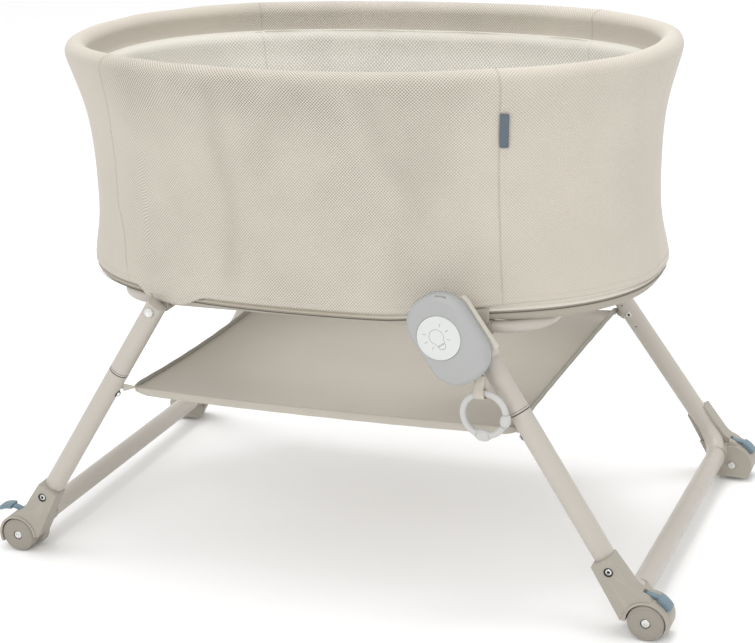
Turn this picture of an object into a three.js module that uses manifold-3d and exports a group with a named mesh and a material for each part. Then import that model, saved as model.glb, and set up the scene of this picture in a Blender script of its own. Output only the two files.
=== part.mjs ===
// Bassinet on a folding stand with four braked rollers, a storage shelf and a clip-on night light.
// Millimetres, +Z up. X runs along the basket, -Y is the side with the night light, and the origin
// is on the floor below the middle of the basket.
import * as THREE from 'three';
import * as BufferGeometryUtils from 'three/addons/utils/BufferGeometryUtils.js';
import Module from 'manifold-3d';

const wasm = await Module();
wasm.setup();

// ---------- driving dimensions ----------
const CLEARANCE = 0.3;              // gap kept between parts that touch

const RIM_HALF_LENGTH = 438.4;      // outside of the padded rim
const RIM_HALF_WIDTH = 262.6;
const RIM_HEIGHT = 707.7;           // centre of the rim roll above the floor
const ROLL_RADIUS = 14.5;
const OVAL_POWER = 2.4;             // exponent of the superellipse seen from above
const OVAL_STEPS = 48;
const COVER_THICKNESS = 2.5;
const COVER_BOTTOM = 394;
const LINING_TOP = 680;             // where the padded rim ends inside the basket
const WAIST_INSET = { length: 29.6, width: 21 };
const BASE_FLARE = { length: 11, width: 13.4 };
const HOOP_RADIUS = 9;

const LINER_INSET = 19;             // liner's outer face behind the cover's outer face
const LINER_THICKNESS = 2;
const UPRIGHT_INSET = 10;
const UPRIGHT_RADIUS = 5.5;

const TRAY_BOTTOM = 394;
const TRAY_WALL_TOP = 412;
const BOARD_BOTTOM = 399;
const BOARD_TOP = 405.2;
const MATTRESS_TOP = 436;
const MATTRESS_GAP = 2;             // to the liner at the waist, so that the pad lifts out
const WAIST_HEIGHT = 560;           // where the basket is narrowest

const RING = { halfLength: 311, halfWidth: 209, corner: 65, radius: 8.3, height: 383, sides: 8 };

const RING_GAP = 0.5;               // between the ring and the brackets that hold it

const TUBE_RADIUS = 14.3;           // 28.6 mm leg tube
const TUBE_WALL = 1.5;
const TUBE_SIDES = 12;
const PIVOT = new THREE.Vector3(234, 239, 376.5);
const BRACKET = { halfLength: 13, inner: 198, outer: 223, bottom: 369, top: 393.5 };
const BOLT_HEAD = { start: 217.8, radius: 7, rim: 6, height: 2.5 };
const LEG_END = new THREE.Vector3(447, 269.3, 44);   // where leg and crossbar axes meet
const SEAM_HEIGHT = 283;
const LEG_TOP_HEIGHT = 384;
const SPIGOT = { length: 45, outer: 12.4, inner: 10.8 };
const BEND_RADIUS = 45;
const BOLT_RADIUS = 4;
const BUTTON_BELOW_SEAM = 30;
const BUTTON = { flange: 5.2, seat: 7, flangeEnd: 8.8, shoulder: 17, tip: 2.6, end: 18.2 };

const WHEEL = {
  radius: 25, width: 23.4, bore: 4.5, face: 286.2, sides: 20,
  flat: 23, chamfer: 2.5, recess: 6.8, recessDepth: 2.8,
};
const AXLE = { start: 243.2, nut: 5.5, nutEnd: 245.7, headStart: 283.8, head: 6.3 };
const HUB = new THREE.Vector3(468, 0, WHEEL.radius * Math.cos(Math.PI / WHEEL.sides));
const HOOD = { radius: 30, inner: 246, outer: 286.3, cavityRadius: 26.6, cavityFloor: 262.3 };
const SOCKET = { radius: 15.6, top: 103, bottom: 60, webInner: 250, face: 284.6 };
const WEB = { heel: [442.7, 8.8], hoodAngle: 75, notch: [470, 59], brow: [455, 66] };
const CUT_DEPTH = { x0: 360, x1: 520, y0: 230, y1: 300, z0: -20 };
const SOLE = 5;                     // how far the housing stays above the floor
const HOOD_LIP = 13;                // lower edge of the outer side of the hood
const INNER_CUT = { end: 462, depth: 258, bottom: 56, top: 130 };
const LEVER_SLOT = { x0: 461.3, x1: 480, y0: 261.5, y1: 271.5, bottom: 54.6, top: 90 };
const AXLE_HOLE = { from: 240, to: 270 };
const SCREW = {
  height: 90, shift: 2, radius: 4.8, hole: 5.3, start: 281.3, shoulder: 284.2, crown: 4, end: 285,
};
const LEVER = { angle: 92, pivotRadius: 33.5, barrel: 3, raised: 30 };
const LEVER_ARM = { inner: 31, outer: 34.6, end: 62, y0: 262, y1: 271 };
const LEVER_PAD = { inner: 30.7, outer: 36.5, start: 67, end: 25, y0: 256, y1: 278 };

const SHELF = {
  left: -273, right: 289, halfWidth: 243, leftSag: 12, rightSag: 3, sideSag: 11, bottom: 250, thickness: 4,
};

const POD = { x: 213, y: -282, z: 388, width: 86, length: 124, corner: 38, depth: 26 };
const POD_BUTTON = { x: -5.4, z: 8.2, radius: 30.3, thickness: 6, proud: 1.5 };
const CLIP = { thickness: 11, width: 66, length: 88, corner: 20, x: 4, z: -6 };
const CLIP_EDGE = { outer: 40.6, inner: 32, turn: 58, bottom: -30 };   // the strip that shows beside the pod
const COLLAR = { height: 350, radius: 17.6, length: 20 };
const COLLAR_MOUTH = { x0: 150, x1: 330, y0: -236, y1: -200, z0: 300, z1: 420 };
const TEETHER = { x: 254, y: -272, z: 285, radius: 29, thickness: 4.3 };
const BEADS = [{ angle: -95, radius: 8.5 }, { angle: -12, radius: 7 }];
const BEAD_FLATTENING = 0.7;
const STRAP = { width: 12, thickness: 2.4, top: 330.5, bottom: 319, shift: -6 };

// ---------- materials ----------
const finish = (color, roughness, metalness = 0) =>
  new THREE.MeshStandardMaterial({ color, roughness, metalness });
const materials = {
  cover: finish(0xcfc8bc, 0.95),
  liner: finish(0xe3e0d4, 0.95),
  mattress: finish(0xeceae2, 0.9),
  shelf: finish(0xc2b9ac, 0.9),
  tray: finish(0xcac0b2, 0.7),
  frame: finish(0xc8bdb0, 0.45, 0.2),
  plastic: finish(0xc2b8ab, 0.5),
  wheel: finish(0xada297, 0.55),
  steel: finish(0xd8d8d6, 0.3, 1),
  brake: finish(0x6f8fa6, 0.45),
  pod: finish(0xc3c7c6, 0.4),
  white: finish(0xf1f1ef, 0.4),
  strap: finish(0xc9beb0, 0.9),
  teether: finish(0xcfd0cf, 0.5),
};

// ---------- solids ----------
// The signed volume tells which way the faces point; a mirrored solid is turned right side out.
function faceOutwards(geometry) {
  const position = geometry.getAttribute('position');
  const index = geometry.getIndex().array;
  const [a, b, c] = [new THREE.Vector3(), new THREE.Vector3(), new THREE.Vector3()];
  let volume = 0;
  for (let i = 0; i < index.length; i += 3) {
    a.fromBufferAttribute(position, index[i]);
    b.fromBufferAttribute(position, index[i + 1]);
    c.fromBufferAttribute(position, index[i + 2]);
    volume += a.dot(b.cross(c));
  }
  if (volume < 0) {
    for (let i = 0; i < index.length; i += 3) {
      [index[i + 1], index[i + 2]] = [index[i + 2], index[i + 1]];
    }
  }
  return geometry;
}

function closedGeometry(source) {
  const geometry = source.clone();
  geometry.deleteAttribute('normal');
  geometry.deleteAttribute('uv');
  return faceOutwards(BufferGeometryUtils.mergeVertices(geometry, 1e-4));
}

function toSolid(source) {
  const geometry = closedGeometry(source);
  return new wasm.Manifold(new wasm.Mesh({
    numProp: 3,
    vertProperties: new Float32Array(geometry.getAttribute('position').array),
    triVerts: new Uint32Array(geometry.getIndex().array),
  }));
}

function toGeometry(solid) {
  const mesh = solid.getMesh();
  const geometry = new THREE.BufferGeometry();
  geometry.setAttribute('position', new THREE.BufferAttribute(mesh.vertProperties, 3));
  geometry.setIndex(new THREE.BufferAttribute(mesh.triVerts, 1));
  return geometry;
}

function shape(joined, removed = []) {
  let solid = toSolid(joined[0]);
  for (const piece of joined.slice(1)) solid = solid.add(toSolid(piece));
  for (const piece of removed) solid = solid.subtract(toSolid(piece));
  return toGeometry(solid);
}

// Copies a solid from the +X +Y corner into the corner given by the two signs.
function toCorner(geometry, signX, signY) {
  const copy = closedGeometry(geometry);
  copy.applyMatrix4(new THREE.Matrix4().makeScale(signX, signY, 1));
  return faceOutwards(copy);
}

function box(x0, x1, y0, y1, z0, z1) {
  return new THREE.BoxGeometry(x1 - x0, y1 - y0, z1 - z0)
    .translate((x0 + x1) / 2, (y0 + y1) / 2, (z0 + z1) / 2);
}

// A turned solid whose axis runs along +Y through (x, 0, z); points are [radius, y].
function turnedAlongY(points, x, z, steps) {
  const profile = points.map(([radius, y]) => new THREE.Vector2(radius, y));
  return new THREE.LatheGeometry(profile, steps).rotateY(Math.PI / steps).translate(x, 0, z);
}

function rodAlongY(radius, x, z, y0, y1, steps = 16) {
  return turnedAlongY([[0, y0], [radius, y0], [radius, y1], [0, y1]], x, z, steps);
}

// Joins plan outlines of equal point count into one skin, and caps the two ends or closes the loop.
function loft(outlines, capped) {
  const steps = outlines[0].length;
  const positions = outlines.flat().flatMap((p) => [p.x, p.y, p.z]);
  const index = [];
  const spans = capped ? outlines.length - 1 : outlines.length;
  for (let i = 0; i < spans; i += 1) {
    const lower = i * steps;
    const upper = ((i + 1) % outlines.length) * steps;
    for (let k = 0; k < steps; k += 1) {
      const next = (k + 1) % steps;
      index.push(lower + k, lower + next, upper + next, lower + k, upper + next, upper + k);
    }
  }
  if (capped) {
    const last = (outlines.length - 1) * steps;
    for (const [base, flip] of [[0, true], [last, false]]) {
      const centre = positions.length / 3;
      positions.push(0, 0, positions[base * 3 + 2]);
      for (let k = 0; k < steps; k += 1) {
        const next = (k + 1) % steps;
        index.push(centre, base + (flip ? next : k), base + (flip ? k : next));
      }
    }
  }
  const geometry = new THREE.BufferGeometry();
  geometry.setAttribute('position', new THREE.Float32BufferAttribute(positions, 3));
  geometry.setIndex(index);
  return faceOutwards(geometry);
}

function oval(halfLength, halfWidth, z) {
  const points = [];
  for (let k = 0; k < OVAL_STEPS; k += 1) {
    const turn = (2 * Math.PI * k) / OVAL_STEPS;
    const [c, s] = [Math.cos(turn), Math.sin(turn)];
    points.push(new THREE.Vector3(
      halfLength * Math.sign(c) * Math.abs(c) ** (2 / OVAL_POWER),
      halfWidth * Math.sign(s) * Math.abs(s) ** (2 / OVAL_POWER),
      z,
    ));
  }
  return points;
}

// ---------- basket ----------
// How far the wall stands inside the rim's outside at a height: flared rim, waist, flared foot.
function wallInset(z, side) {
  const below = Math.max(RIM_HEIGHT - z, 0) / 70;
  const above = (z - 405) / 50;
  return WAIST_INSET[side] * (1 - Math.exp(-(below ** 1.5)))
    - BASE_FLARE[side] * Math.exp(-(above ** 2));
}

function wallOval(z, behind, shapeHeight = z) {
  return oval(
    RIM_HALF_LENGTH - wallInset(shapeHeight, 'length') - behind,
    RIM_HALF_WIDTH - wallInset(shapeHeight, 'width') - behind,
    z,
  );
}

function rollArc(radius, from, to, steps) {
  const outlines = [];
  for (let i = 0; i <= steps; i += 1) {
    const angle = THREE.MathUtils.degToRad(from + ((to - from) * i) / steps);
    const inset = ROLL_RADIUS - radius * Math.cos(angle);
    outlines.push(oval(
      RIM_HALF_LENGTH - inset, RIM_HALF_WIDTH - inset, RIM_HEIGHT + radius * Math.sin(angle),
    ));
  }
  return outlines;
}

function rimOval(inset, z) {
  return oval(RIM_HALF_LENGTH - inset, RIM_HALF_WIDTH - inset, z);
}

// The cover runs up the wall, over the rim hoop and a short way down inside.
function outerCover() {
  const heights = [COVER_BOTTOM, 425, 465, 540, 620, 665, 690];
  const outside = heights.map((z) => wallOval(z, 0));
  const inside = heights.map((z) => wallOval(z, COVER_THICKNESS)).reverse();
  return loft([
    ...outside,
    ...rollArc(ROLL_RADIUS, 0, 180, 4),
    rimOval(2 * ROLL_RADIUS, LINING_TOP),
    rimOval(2 * ROLL_RADIUS - COVER_THICKNESS, LINING_TOP),
    ...rollArc(ROLL_RADIUS - COVER_THICKNESS, 180, 0, 4),
    ...inside,
  ], false);
}

function innerLiner() {
  const heights = [TRAY_WALL_TOP, 465, 540, 620, LINING_TOP - 0.5];
  const outside = heights.map((z) => wallOval(z, LINER_INSET));
  const inside = heights.map((z) => wallOval(z, LINER_INSET + LINER_THICKNESS)).reverse();
  return loft([...outside, ...inside], false);
}

function rimHoop() {
  return loft(rollArc(HOOP_RADIUS, 0, 300, 5), false);
}

function upright(turn) {
  const [c, s] = [Math.cos(turn), Math.sin(turn)];
  const points = [TRAY_WALL_TOP + 1.5, 450, 520, 600, 650, 694].map((z) => new THREE.Vector3(
    (RIM_HALF_LENGTH - wallInset(z, 'length') - UPRIGHT_INSET)
      * Math.sign(c) * Math.abs(c) ** (2 / OVAL_POWER),
    (RIM_HALF_WIDTH - wallInset(z, 'width') - UPRIGHT_INSET)
      * Math.sign(s) * Math.abs(s) ** (2 / OVAL_POWER),
    z,
  ));
  const section = new THREE.Shape().absarc(0, 0, UPRIGHT_RADIUS, 0, 2 * Math.PI);
  return closedGeometry(new THREE.ExtrudeGeometry(section, {
    steps: 6, curveSegments: 4, bevelEnabled: false, extrudePath: new THREE.CatmullRomCurve3(points),
  }));
}

function baseTray() {
  const wall = (inset, z) => wallOval(z, inset, COVER_BOTTOM);
  return loft([
    wall(12, TRAY_BOTTOM), wall(4.5, 404), wall(4.5, TRAY_WALL_TOP),
    wall(7.5, TRAY_WALL_TOP), wall(7.5, 405), wall(12.5, 398.6),
  ], true);
}

function baseBoard() {
  return loft([
    wallOval(BOARD_BOTTOM, 13.5, COVER_BOTTOM), wallOval(BOARD_TOP, 13.5, COVER_BOTTOM),
  ], true);
}

function mattressPad() {
  const behind = LINER_INSET + LINER_THICKNESS + MATTRESS_GAP;
  const edge = (inset, z) => wallOval(z, behind + inset, WAIST_HEIGHT);
  return loft([
    edge(4, BOARD_TOP + CLEARANCE), edge(0, 411), edge(0, MATTRESS_TOP - 5), edge(5, MATTRESS_TOP),
  ], true);
}

// ---------- ring under the tray, and the leg hinges on it ----------
function ringOutline(offset, z) {
  const corner = RING.corner + offset;
  const shapeOutline = [];
  for (const [sx, sy, start] of [[1, 1, 0], [-1, 1, 90], [-1, -1, 180], [1, -1, 270]]) {
    for (let i = 0; i <= 5; i += 1) {
      const angle = THREE.MathUtils.degToRad(start + 18 * i);
      shapeOutline.push(new THREE.Vector3(
        sx * (RING.halfLength - RING.corner) + corner * Math.cos(angle),
        sy * (RING.halfWidth - RING.corner) + corner * Math.sin(angle),
        z,
      ));
    }
  }
  return shapeOutline;
}

function ringTube() {
  const outlines = [];
  for (let i = 0; i < RING.sides; i += 1) {
    const angle = (2 * Math.PI * i) / RING.sides;
    outlines.push(
      ringOutline(RING.radius * Math.cos(angle), RING.height + RING.radius * Math.sin(angle)),
    );
  }
  return loft(outlines, false);
}

function pivotBracket() {
  const { halfLength, inner, outer, bottom, top } = BRACKET;
  const block = box(PIVOT.x - halfLength, PIVOT.x + halfLength, inner, outer, bottom, top);
  const hole = RING.radius + RING_GAP;
  const ringHole = new THREE.CylinderGeometry(hole, hole, 4 * halfLength, 16)
    .rotateZ(Math.PI / 2).translate(PIVOT.x, RING.halfWidth, RING.height);
  const boltHole = rodAlongY(BOLT_RADIUS + CLEARANCE, PIVOT.x, PIVOT.z, BOLT_HEAD.start - 2, outer + 3);
  return shape([block], [ringHole, boltHole]);
}

function pivotBolt() {
  const head = PIVOT.y + TUBE_RADIUS + 0.5;
  const { start, radius, rim, height } = BOLT_HEAD;
  return closedGeometry(turnedAlongY([
    [0, start], [BOLT_RADIUS, start], [BOLT_RADIUS, head],
    [radius, head], [rim, head + height], [0, head + height],
  ], PIVOT.x, PIVOT.z, 12));
}

// ---------- legs ----------
const LEG_DOWN = LEG_END.clone().sub(PIVOT).normalize();
const LEG_UP = LEG_DOWN.clone().negate();
const INWARD = new THREE.Vector3(-Math.abs(LEG_DOWN.z), 0, -LEG_DOWN.x).normalize();

function onLeg(height) {
  return PIVOT.clone().addScaledVector(LEG_DOWN, (height - PIVOT.z) / LEG_DOWN.z);
}

// A turned solid whose axis runs up the leg from a point; profile points are [radius, distance].
function turnedAlong(direction, origin, points, steps = TUBE_SIDES) {
  const profile = points.map(([radius, distance]) => new THREE.Vector2(radius, distance));
  return new THREE.LatheGeometry(profile, steps)
    .applyQuaternion(new THREE.Quaternion().setFromUnitVectors(new THREE.Vector3(0, 1, 0), direction))
    .translate(origin.x, origin.y, origin.z);
}

function rodAlong(direction, origin, radius, from, to, steps = TUBE_SIDES) {
  return turnedAlong(direction, origin, [[0, from], [radius, from], [radius, to], [0, to]], steps);
}

const buttonPlace = onLeg(SEAM_HEIGHT).addScaledVector(LEG_DOWN, BUTTON_BELOW_SEAM);

function buttonHole() {
  return rodAlong(INWARD, buttonPlace, BOLT_RADIUS + CLEARANCE, 2, 2 * TUBE_RADIUS, 10);
}

function upperLeg() {
  const length = (LEG_TOP_HEIGHT - SEAM_HEIGHT) / LEG_UP.z;
  const tube = turnedAlong(LEG_UP, onLeg(SEAM_HEIGHT), [
    [SPIGOT.inner, -SPIGOT.length], [SPIGOT.outer, -SPIGOT.length], [SPIGOT.outer, 0],
    [TUBE_RADIUS, 0], [TUBE_RADIUS, length], [SPIGOT.inner, length],
    [SPIGOT.inner, -SPIGOT.length],
  ]);
  return shape([tube], [
    rodAlongY(
      BOLT_RADIUS + CLEARANCE, PIVOT.x, PIVOT.z, PIVOT.y - 3 * TUBE_RADIUS, PIVOT.y + 3 * TUBE_RADIUS,
    ),
    buttonHole(),
  ]);
}

function springButton() {
  const { flange, seat, flangeEnd, shoulder, tip, end } = BUTTON;
  return closedGeometry(turnedAlong(INWARD, buttonPlace, [
    [0, seat], [flange, seat], [flange, flangeEnd], [BOLT_RADIUS, flangeEnd],
    [BOLT_RADIUS, shoulder], [tip, end], [0, end],
  ], 10));
}

// Straight runs and bends of one U-shaped tube as stations with their own tangents.
class StationCurve extends THREE.Curve {
  constructor(stations) {
    super();
    this.stations = stations;
  }

  blend(t, key) {
    const place = THREE.MathUtils.clamp(t, 0, 1) * (this.stations.length - 1);
    const i = Math.min(Math.floor(place), this.stations.length - 2);
    return this.stations[i][key].clone().lerp(this.stations[i + 1][key], place - i);
  }

  getPoint(t) {
    return this.blend(t, 'point');
  }

  getTangent(t) {
    return this.blend(t, 'tangent').normalize();
  }

  getUtoTmapping(u) {
    return u;
  }
}

function uFrameStations() {
  const across = new THREE.Vector3(0, -1, 0);
  const turn = Math.acos(LEG_DOWN.dot(across));
  const side = across.clone().addScaledVector(LEG_DOWN, -LEG_DOWN.dot(across)).normalize();
  const bendStart = LEG_END.clone().addScaledVector(LEG_DOWN, -BEND_RADIUS * Math.tan(turn / 2));
  const half = [{ point: onLeg(SEAM_HEIGHT - CLEARANCE), tangent: LEG_DOWN.clone() }];
  for (let i = 0; i <= 5; i += 1) {
    const angle = (turn * i) / 5;
    half.push({
      point: bendStart.clone()
        .addScaledVector(LEG_DOWN, BEND_RADIUS * Math.sin(angle))
        .addScaledVector(side, BEND_RADIUS * (1 - Math.cos(angle))),
      tangent: LEG_DOWN.clone().multiplyScalar(Math.cos(angle))
        .addScaledVector(side, Math.sin(angle)),
    });
  }
  const mirrored = half.map(({ point, tangent }) => ({
    point: new THREE.Vector3(point.x, -point.y, point.z),
    tangent: new THREE.Vector3(-tangent.x, tangent.y, -tangent.z),
  })).reverse();
  return [...half, ...mirrored];
}

function uFrameTube(outer, inner) {
  const stations = uFrameStations();
  const section = new THREE.Shape().absarc(0, 0, outer, 0, 2 * Math.PI);
  if (inner) section.holes.push(new THREE.Path().absarc(0, 0, inner, 0, 2 * Math.PI, true));
  return new THREE.ExtrudeGeometry(section, {
    steps: stations.length - 1,
    curveSegments: TUBE_SIDES / 2,
    bevelEnabled: false,
    extrudePath: new StationCurve(stations),
  });
}

function lowerFrame() {
  return shape(
    [uFrameTube(TUBE_RADIUS, TUBE_RADIUS - TUBE_WALL)],
    [buttonHole(), toCorner(buttonHole(), 1, -1)],
  );
}

// ---------- feet, wheels and brakes, drawn for the +X +Y corner ----------
function extrudeAlongY(points, y0, y1) {
  const outline = new THREE.Shape(points.map(([x, z]) => new THREE.Vector2(x, z)));
  return new THREE.ExtrudeGeometry(outline, { depth: y1 - y0, bevelEnabled: false })
    .rotateX(Math.PI / 2).translate(0, y1, 0);
}

function polar(radius, degrees) {
  const angle = THREE.MathUtils.degToRad(degrees);
  return [HUB.x + radius * Math.cos(angle), HUB.z + radius * Math.sin(angle)];
}

const SOCKET_TOP = onLeg(SOCKET.top);
const SCREW_PLACE = onLeg(SCREW.height).add(new THREE.Vector3(SCREW.shift, 0, 0));

function footHousing() {
  const across = [SOCKET.radius * Math.abs(LEG_DOWN.z), SOCKET.radius * LEG_DOWN.x];
  const socketBase = onLeg(SOCKET.bottom);
  const web = extrudeAlongY([
    [SOCKET_TOP.x - across[0], SOCKET_TOP.z - across[1]], WEB.heel, [HUB.x, HUB.z],
    polar(HOOD.radius, WEB.hoodAngle), WEB.notch, WEB.brow,
    [SOCKET_TOP.x + across[0], SOCKET_TOP.z + across[1]],
  ], SOCKET.webInner, SOCKET.face);
  const hood = rodAlongY(HOOD.radius, HUB.x, HUB.z, HOOD.inner, HOOD.outer, 20);
  const socket = rodAlong(LEG_UP, socketBase, SOCKET.radius, 0, SOCKET_TOP.distanceTo(socketBase));
  const { x0, x1, y0, y1, z0 } = CUT_DEPTH;
  return shape([hood, web, socket], [
    uFrameTube(TUBE_RADIUS + CLEARANCE, 0),
    rodAlongY(HOOD.cavityRadius, HUB.x, HUB.z, HOOD.cavityFloor, y1, 20),
    box(x0, x1, y0, y1, z0, SOLE),
    box(x0, HUB.x, HOOD.cavityFloor, y1, z0, HUB.z),
    box(HUB.x, x1, HOOD.cavityFloor, y1, z0, HOOD_LIP),
    box(x0, INNER_CUT.end, y0, INNER_CUT.depth, INNER_CUT.bottom, INNER_CUT.top),
    box(
      LEVER_SLOT.x0, LEVER_SLOT.x1, LEVER_SLOT.y0, LEVER_SLOT.y1, LEVER_SLOT.bottom, LEVER_SLOT.top,
    ),
    rodAlongY(WHEEL.bore, HUB.x, HUB.z, AXLE_HOLE.from, AXLE_HOLE.to, 10),
    rodAlongY(SCREW.hole, SCREW_PLACE.x, SCREW_PLACE.z, SCREW.start - CLEARANCE, y1, 10),
  ]);
}

function footScrew() {
  const { radius, start, shoulder, crown, end } = SCREW;
  return closedGeometry(turnedAlongY(
    [[0, start], [radius, start], [radius, shoulder], [crown, end], [0, end]],
    SCREW_PLACE.x, SCREW_PLACE.z, 10,
  ));
}

function wheel() {
  const { radius, width, bore, face, flat, chamfer, recess, recessDepth, sides } = WHEEL;
  const inner = face - width;
  return closedGeometry(turnedAlongY([
    [bore, inner], [flat, inner], [radius, inner + chamfer], [radius, face - chamfer],
    [flat, face], [recess, face], [recess, face - recessDepth], [bore, face - recessDepth], [bore, inner],
  ], HUB.x, HUB.z, sides));
}

function axleBolt() {
  const { start, nut, nutEnd, headStart, head } = AXLE;
  return closedGeometry(turnedAlongY([
    [0, start], [nut, start], [nut, nutEnd], [BOLT_RADIUS, nutEnd], [BOLT_RADIUS, headStart],
    [head, headStart], [head, WHEEL.face], [0, WHEEL.face],
  ], HUB.x, HUB.z, 10));
}

const LEVER_PIVOT = polar(LEVER.pivotRadius, LEVER.angle);

function arcBand(inner, outer, from, to, steps) {
  const angles = Array.from({ length: steps + 1 }, (_, i) => from + ((to - from) * i) / steps);
  return [...angles.map((a) => polar(outer, a)), ...angles.reverse().map((a) => polar(inner, a))];
}

function brakeLever(raised) {
  const [arm, pad] = [LEVER_ARM, LEVER_PAD];
  const lever = shape([
    extrudeAlongY(arcBand(pad.inner, pad.outer, pad.start, pad.end, 5), pad.y0, pad.y1),
    extrudeAlongY(arcBand(arm.inner, arm.outer, LEVER.angle, arm.end, 3), arm.y0, arm.y1),
    rodAlongY(LEVER.barrel, LEVER_PIVOT[0], LEVER_PIVOT[1], arm.y0, arm.y1, 12),
  ]);
  return lever.translate(-LEVER_PIVOT[0], 0, -LEVER_PIVOT[1])
    .rotateY(raised ? -THREE.MathUtils.degToRad(LEVER.raised) : 0)
    .translate(LEVER_PIVOT[0], 0, LEVER_PIVOT[1]);
}

// ---------- storage shelf ----------
function storageShelf() {
  const { left, right, halfWidth: b, leftSag, rightSag, sideSag } = SHELF;
  const middle = (left + right) / 2;
  const outline = new THREE.Shape()
    .moveTo(left, -b)
    .quadraticCurveTo(middle, -b + sideSag, right, -b)
    .quadraticCurveTo(right - 2 * rightSag, 0, right, b)
    .quadraticCurveTo(middle, b - sideSag, left, b)
    .quadraticCurveTo(left + 2 * leftSag, 0, left, -b);
  return closedGeometry(new THREE.ExtrudeGeometry(outline, {
    depth: SHELF.thickness, bevelEnabled: false, curveSegments: 6,
  })).translate(0, 0, SHELF.bottom);
}

// ---------- night light, in its own frame: +Z up the leg, -Y facing outwards ----------
function roundedPlate(width, length, corner, y0, y1, bevel) {
  const [w, l] = [width / 2 - bevel, length / 2 - bevel];
  const r = corner - bevel;
  const outline = new THREE.Shape()
    .absarc(w - r, l - r, r, 0, Math.PI / 2)
    .absarc(-w + r, l - r, r, Math.PI / 2, Math.PI)
    .absarc(-w + r, -l + r, r, Math.PI, 1.5 * Math.PI)
    .absarc(w - r, -l + r, r, 1.5 * Math.PI, 2 * Math.PI);
  return new THREE.ExtrudeGeometry(outline, {
    depth: y1 - y0 - 2 * bevel, curveSegments: 4, bevelEnabled: bevel > 0,
    bevelThickness: bevel, bevelSize: bevel, bevelSegments: 2,
  }).rotateX(Math.PI / 2).translate(0, y1 - bevel, 0);
}

function podButton(radius, y0, y1) {
  return rodAlongY(radius, POD_BUTTON.x, POD_BUTTON.z, y0, y1, 24);
}

function podBody() {
  const front = -POD.depth / 2;
  return shape(
    [roundedPlate(POD.width, POD.length, POD.corner, front, POD.depth / 2, 5)],
    [podButton(POD_BUTTON.radius + 0.4, front - 5, front + POD_BUTTON.thickness + 0.8)],
  );
}

const podTilt = Math.atan2(LEG_DOWN.x, -LEG_DOWN.z);

function intoPodFrame(geometry) {
  return geometry.translate(-POD.x, -POD.y, -POD.z).rotateY(podTilt);
}

// The strip follows the pod's rounded upper corner and right side a little outside them.
function podEdgeStrip() {
  const { outer, inner, turn, bottom } = CLIP_EDGE;
  const [x, z] = [POD.width / 2 - POD.corner, POD.length / 2 - POD.corner];
  const angles = [0, 0.25, 0.5, 0.75, 1].map((share) => THREE.MathUtils.degToRad(turn * share));
  return [
    [x + outer, bottom],
    ...angles.map((a) => [x + outer * Math.cos(a), z + outer * Math.sin(a)]),
    ...angles.reverse().map((a) => [x + inner * Math.cos(a), z + inner * Math.sin(a)]),
    [x + inner, bottom],
  ];
}

function podClip() {
  const front = POD.depth / 2 + CLEARANCE;
  const back = front + CLIP.thickness;
  const plate = roundedPlate(CLIP.width, CLIP.length, CLIP.corner, front, back, 0)
    .translate(CLIP.x, 0, CLIP.z);
  const edge = extrudeAlongY(podEdgeStrip(), front, back);
  const legBase = onLeg(COLLAR.height);
  const nearSide = new THREE.Vector3(legBase.x, -legBase.y, legBase.z);
  const up = new THREE.Vector3(LEG_UP.x, -LEG_UP.y, LEG_UP.z);
  const collar = intoPodFrame(closedGeometry(rodAlong(up, nearSide, COLLAR.radius, 0, COLLAR.length)));
  const legHole = intoPodFrame(closedGeometry(
    rodAlong(up, nearSide, TUBE_RADIUS + CLEARANCE, -3 * COLLAR.length, 3 * COLLAR.length),
  ));
  const { x0, x1, y0, y1, z0, z1 } = COLLAR_MOUTH;
  const mouth = intoPodFrame(box(x0, x1, y0, y1, z0, z1));
  return shape([plate, edge, collar], [legHole, mouth]);
}

function podStrap() {
  const x = TEETHER.x + STRAP.shift;
  return closedGeometry(box(
    x - STRAP.width / 2, x + STRAP.width / 2,
    TEETHER.y - STRAP.thickness / 2, TEETHER.y + STRAP.thickness / 2,
    STRAP.bottom, STRAP.top,
  ));
}

function teetherRing() {
  const ring = new THREE.TorusGeometry(TEETHER.radius, TEETHER.thickness, 6, 20).rotateX(Math.PI / 2);
  const beads = BEADS.map(({ angle, radius }) => {
    const turn = THREE.MathUtils.degToRad(angle);
    return new THREE.SphereGeometry(radius, 8, 6)
      .scale(1, BEAD_FLATTENING, 1)
      .translate(TEETHER.radius * Math.cos(turn), 0, TEETHER.radius * Math.sin(turn));
  });
  return shape([ring, ...beads]).translate(TEETHER.x, TEETHER.y, TEETHER.z);
}

// ---------- assembly ----------
const bassinet = new THREE.Group();

function addPart(parent, name, geometry, material) {
  const mesh = new THREE.Mesh(geometry, material);
  mesh.name = name;
  parent.add(mesh);
  return mesh;
}

addPart(bassinet, 'outer_cover', outerCover(), materials.cover);
addPart(bassinet, 'inner_liner', innerLiner(), materials.liner);
addPart(bassinet, 'rim_hoop', rimHoop(), materials.frame);
addPart(bassinet, 'base_tray', baseTray(), materials.tray);
addPart(bassinet, 'base_board', baseBoard(), materials.tray);
addPart(bassinet, 'mattress_pad', mattressPad(), materials.mattress);
addPart(bassinet, 'ring_tube', ringTube(), materials.frame);
addPart(bassinet, 'storage_shelf', storageShelf(), materials.shelf);

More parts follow.
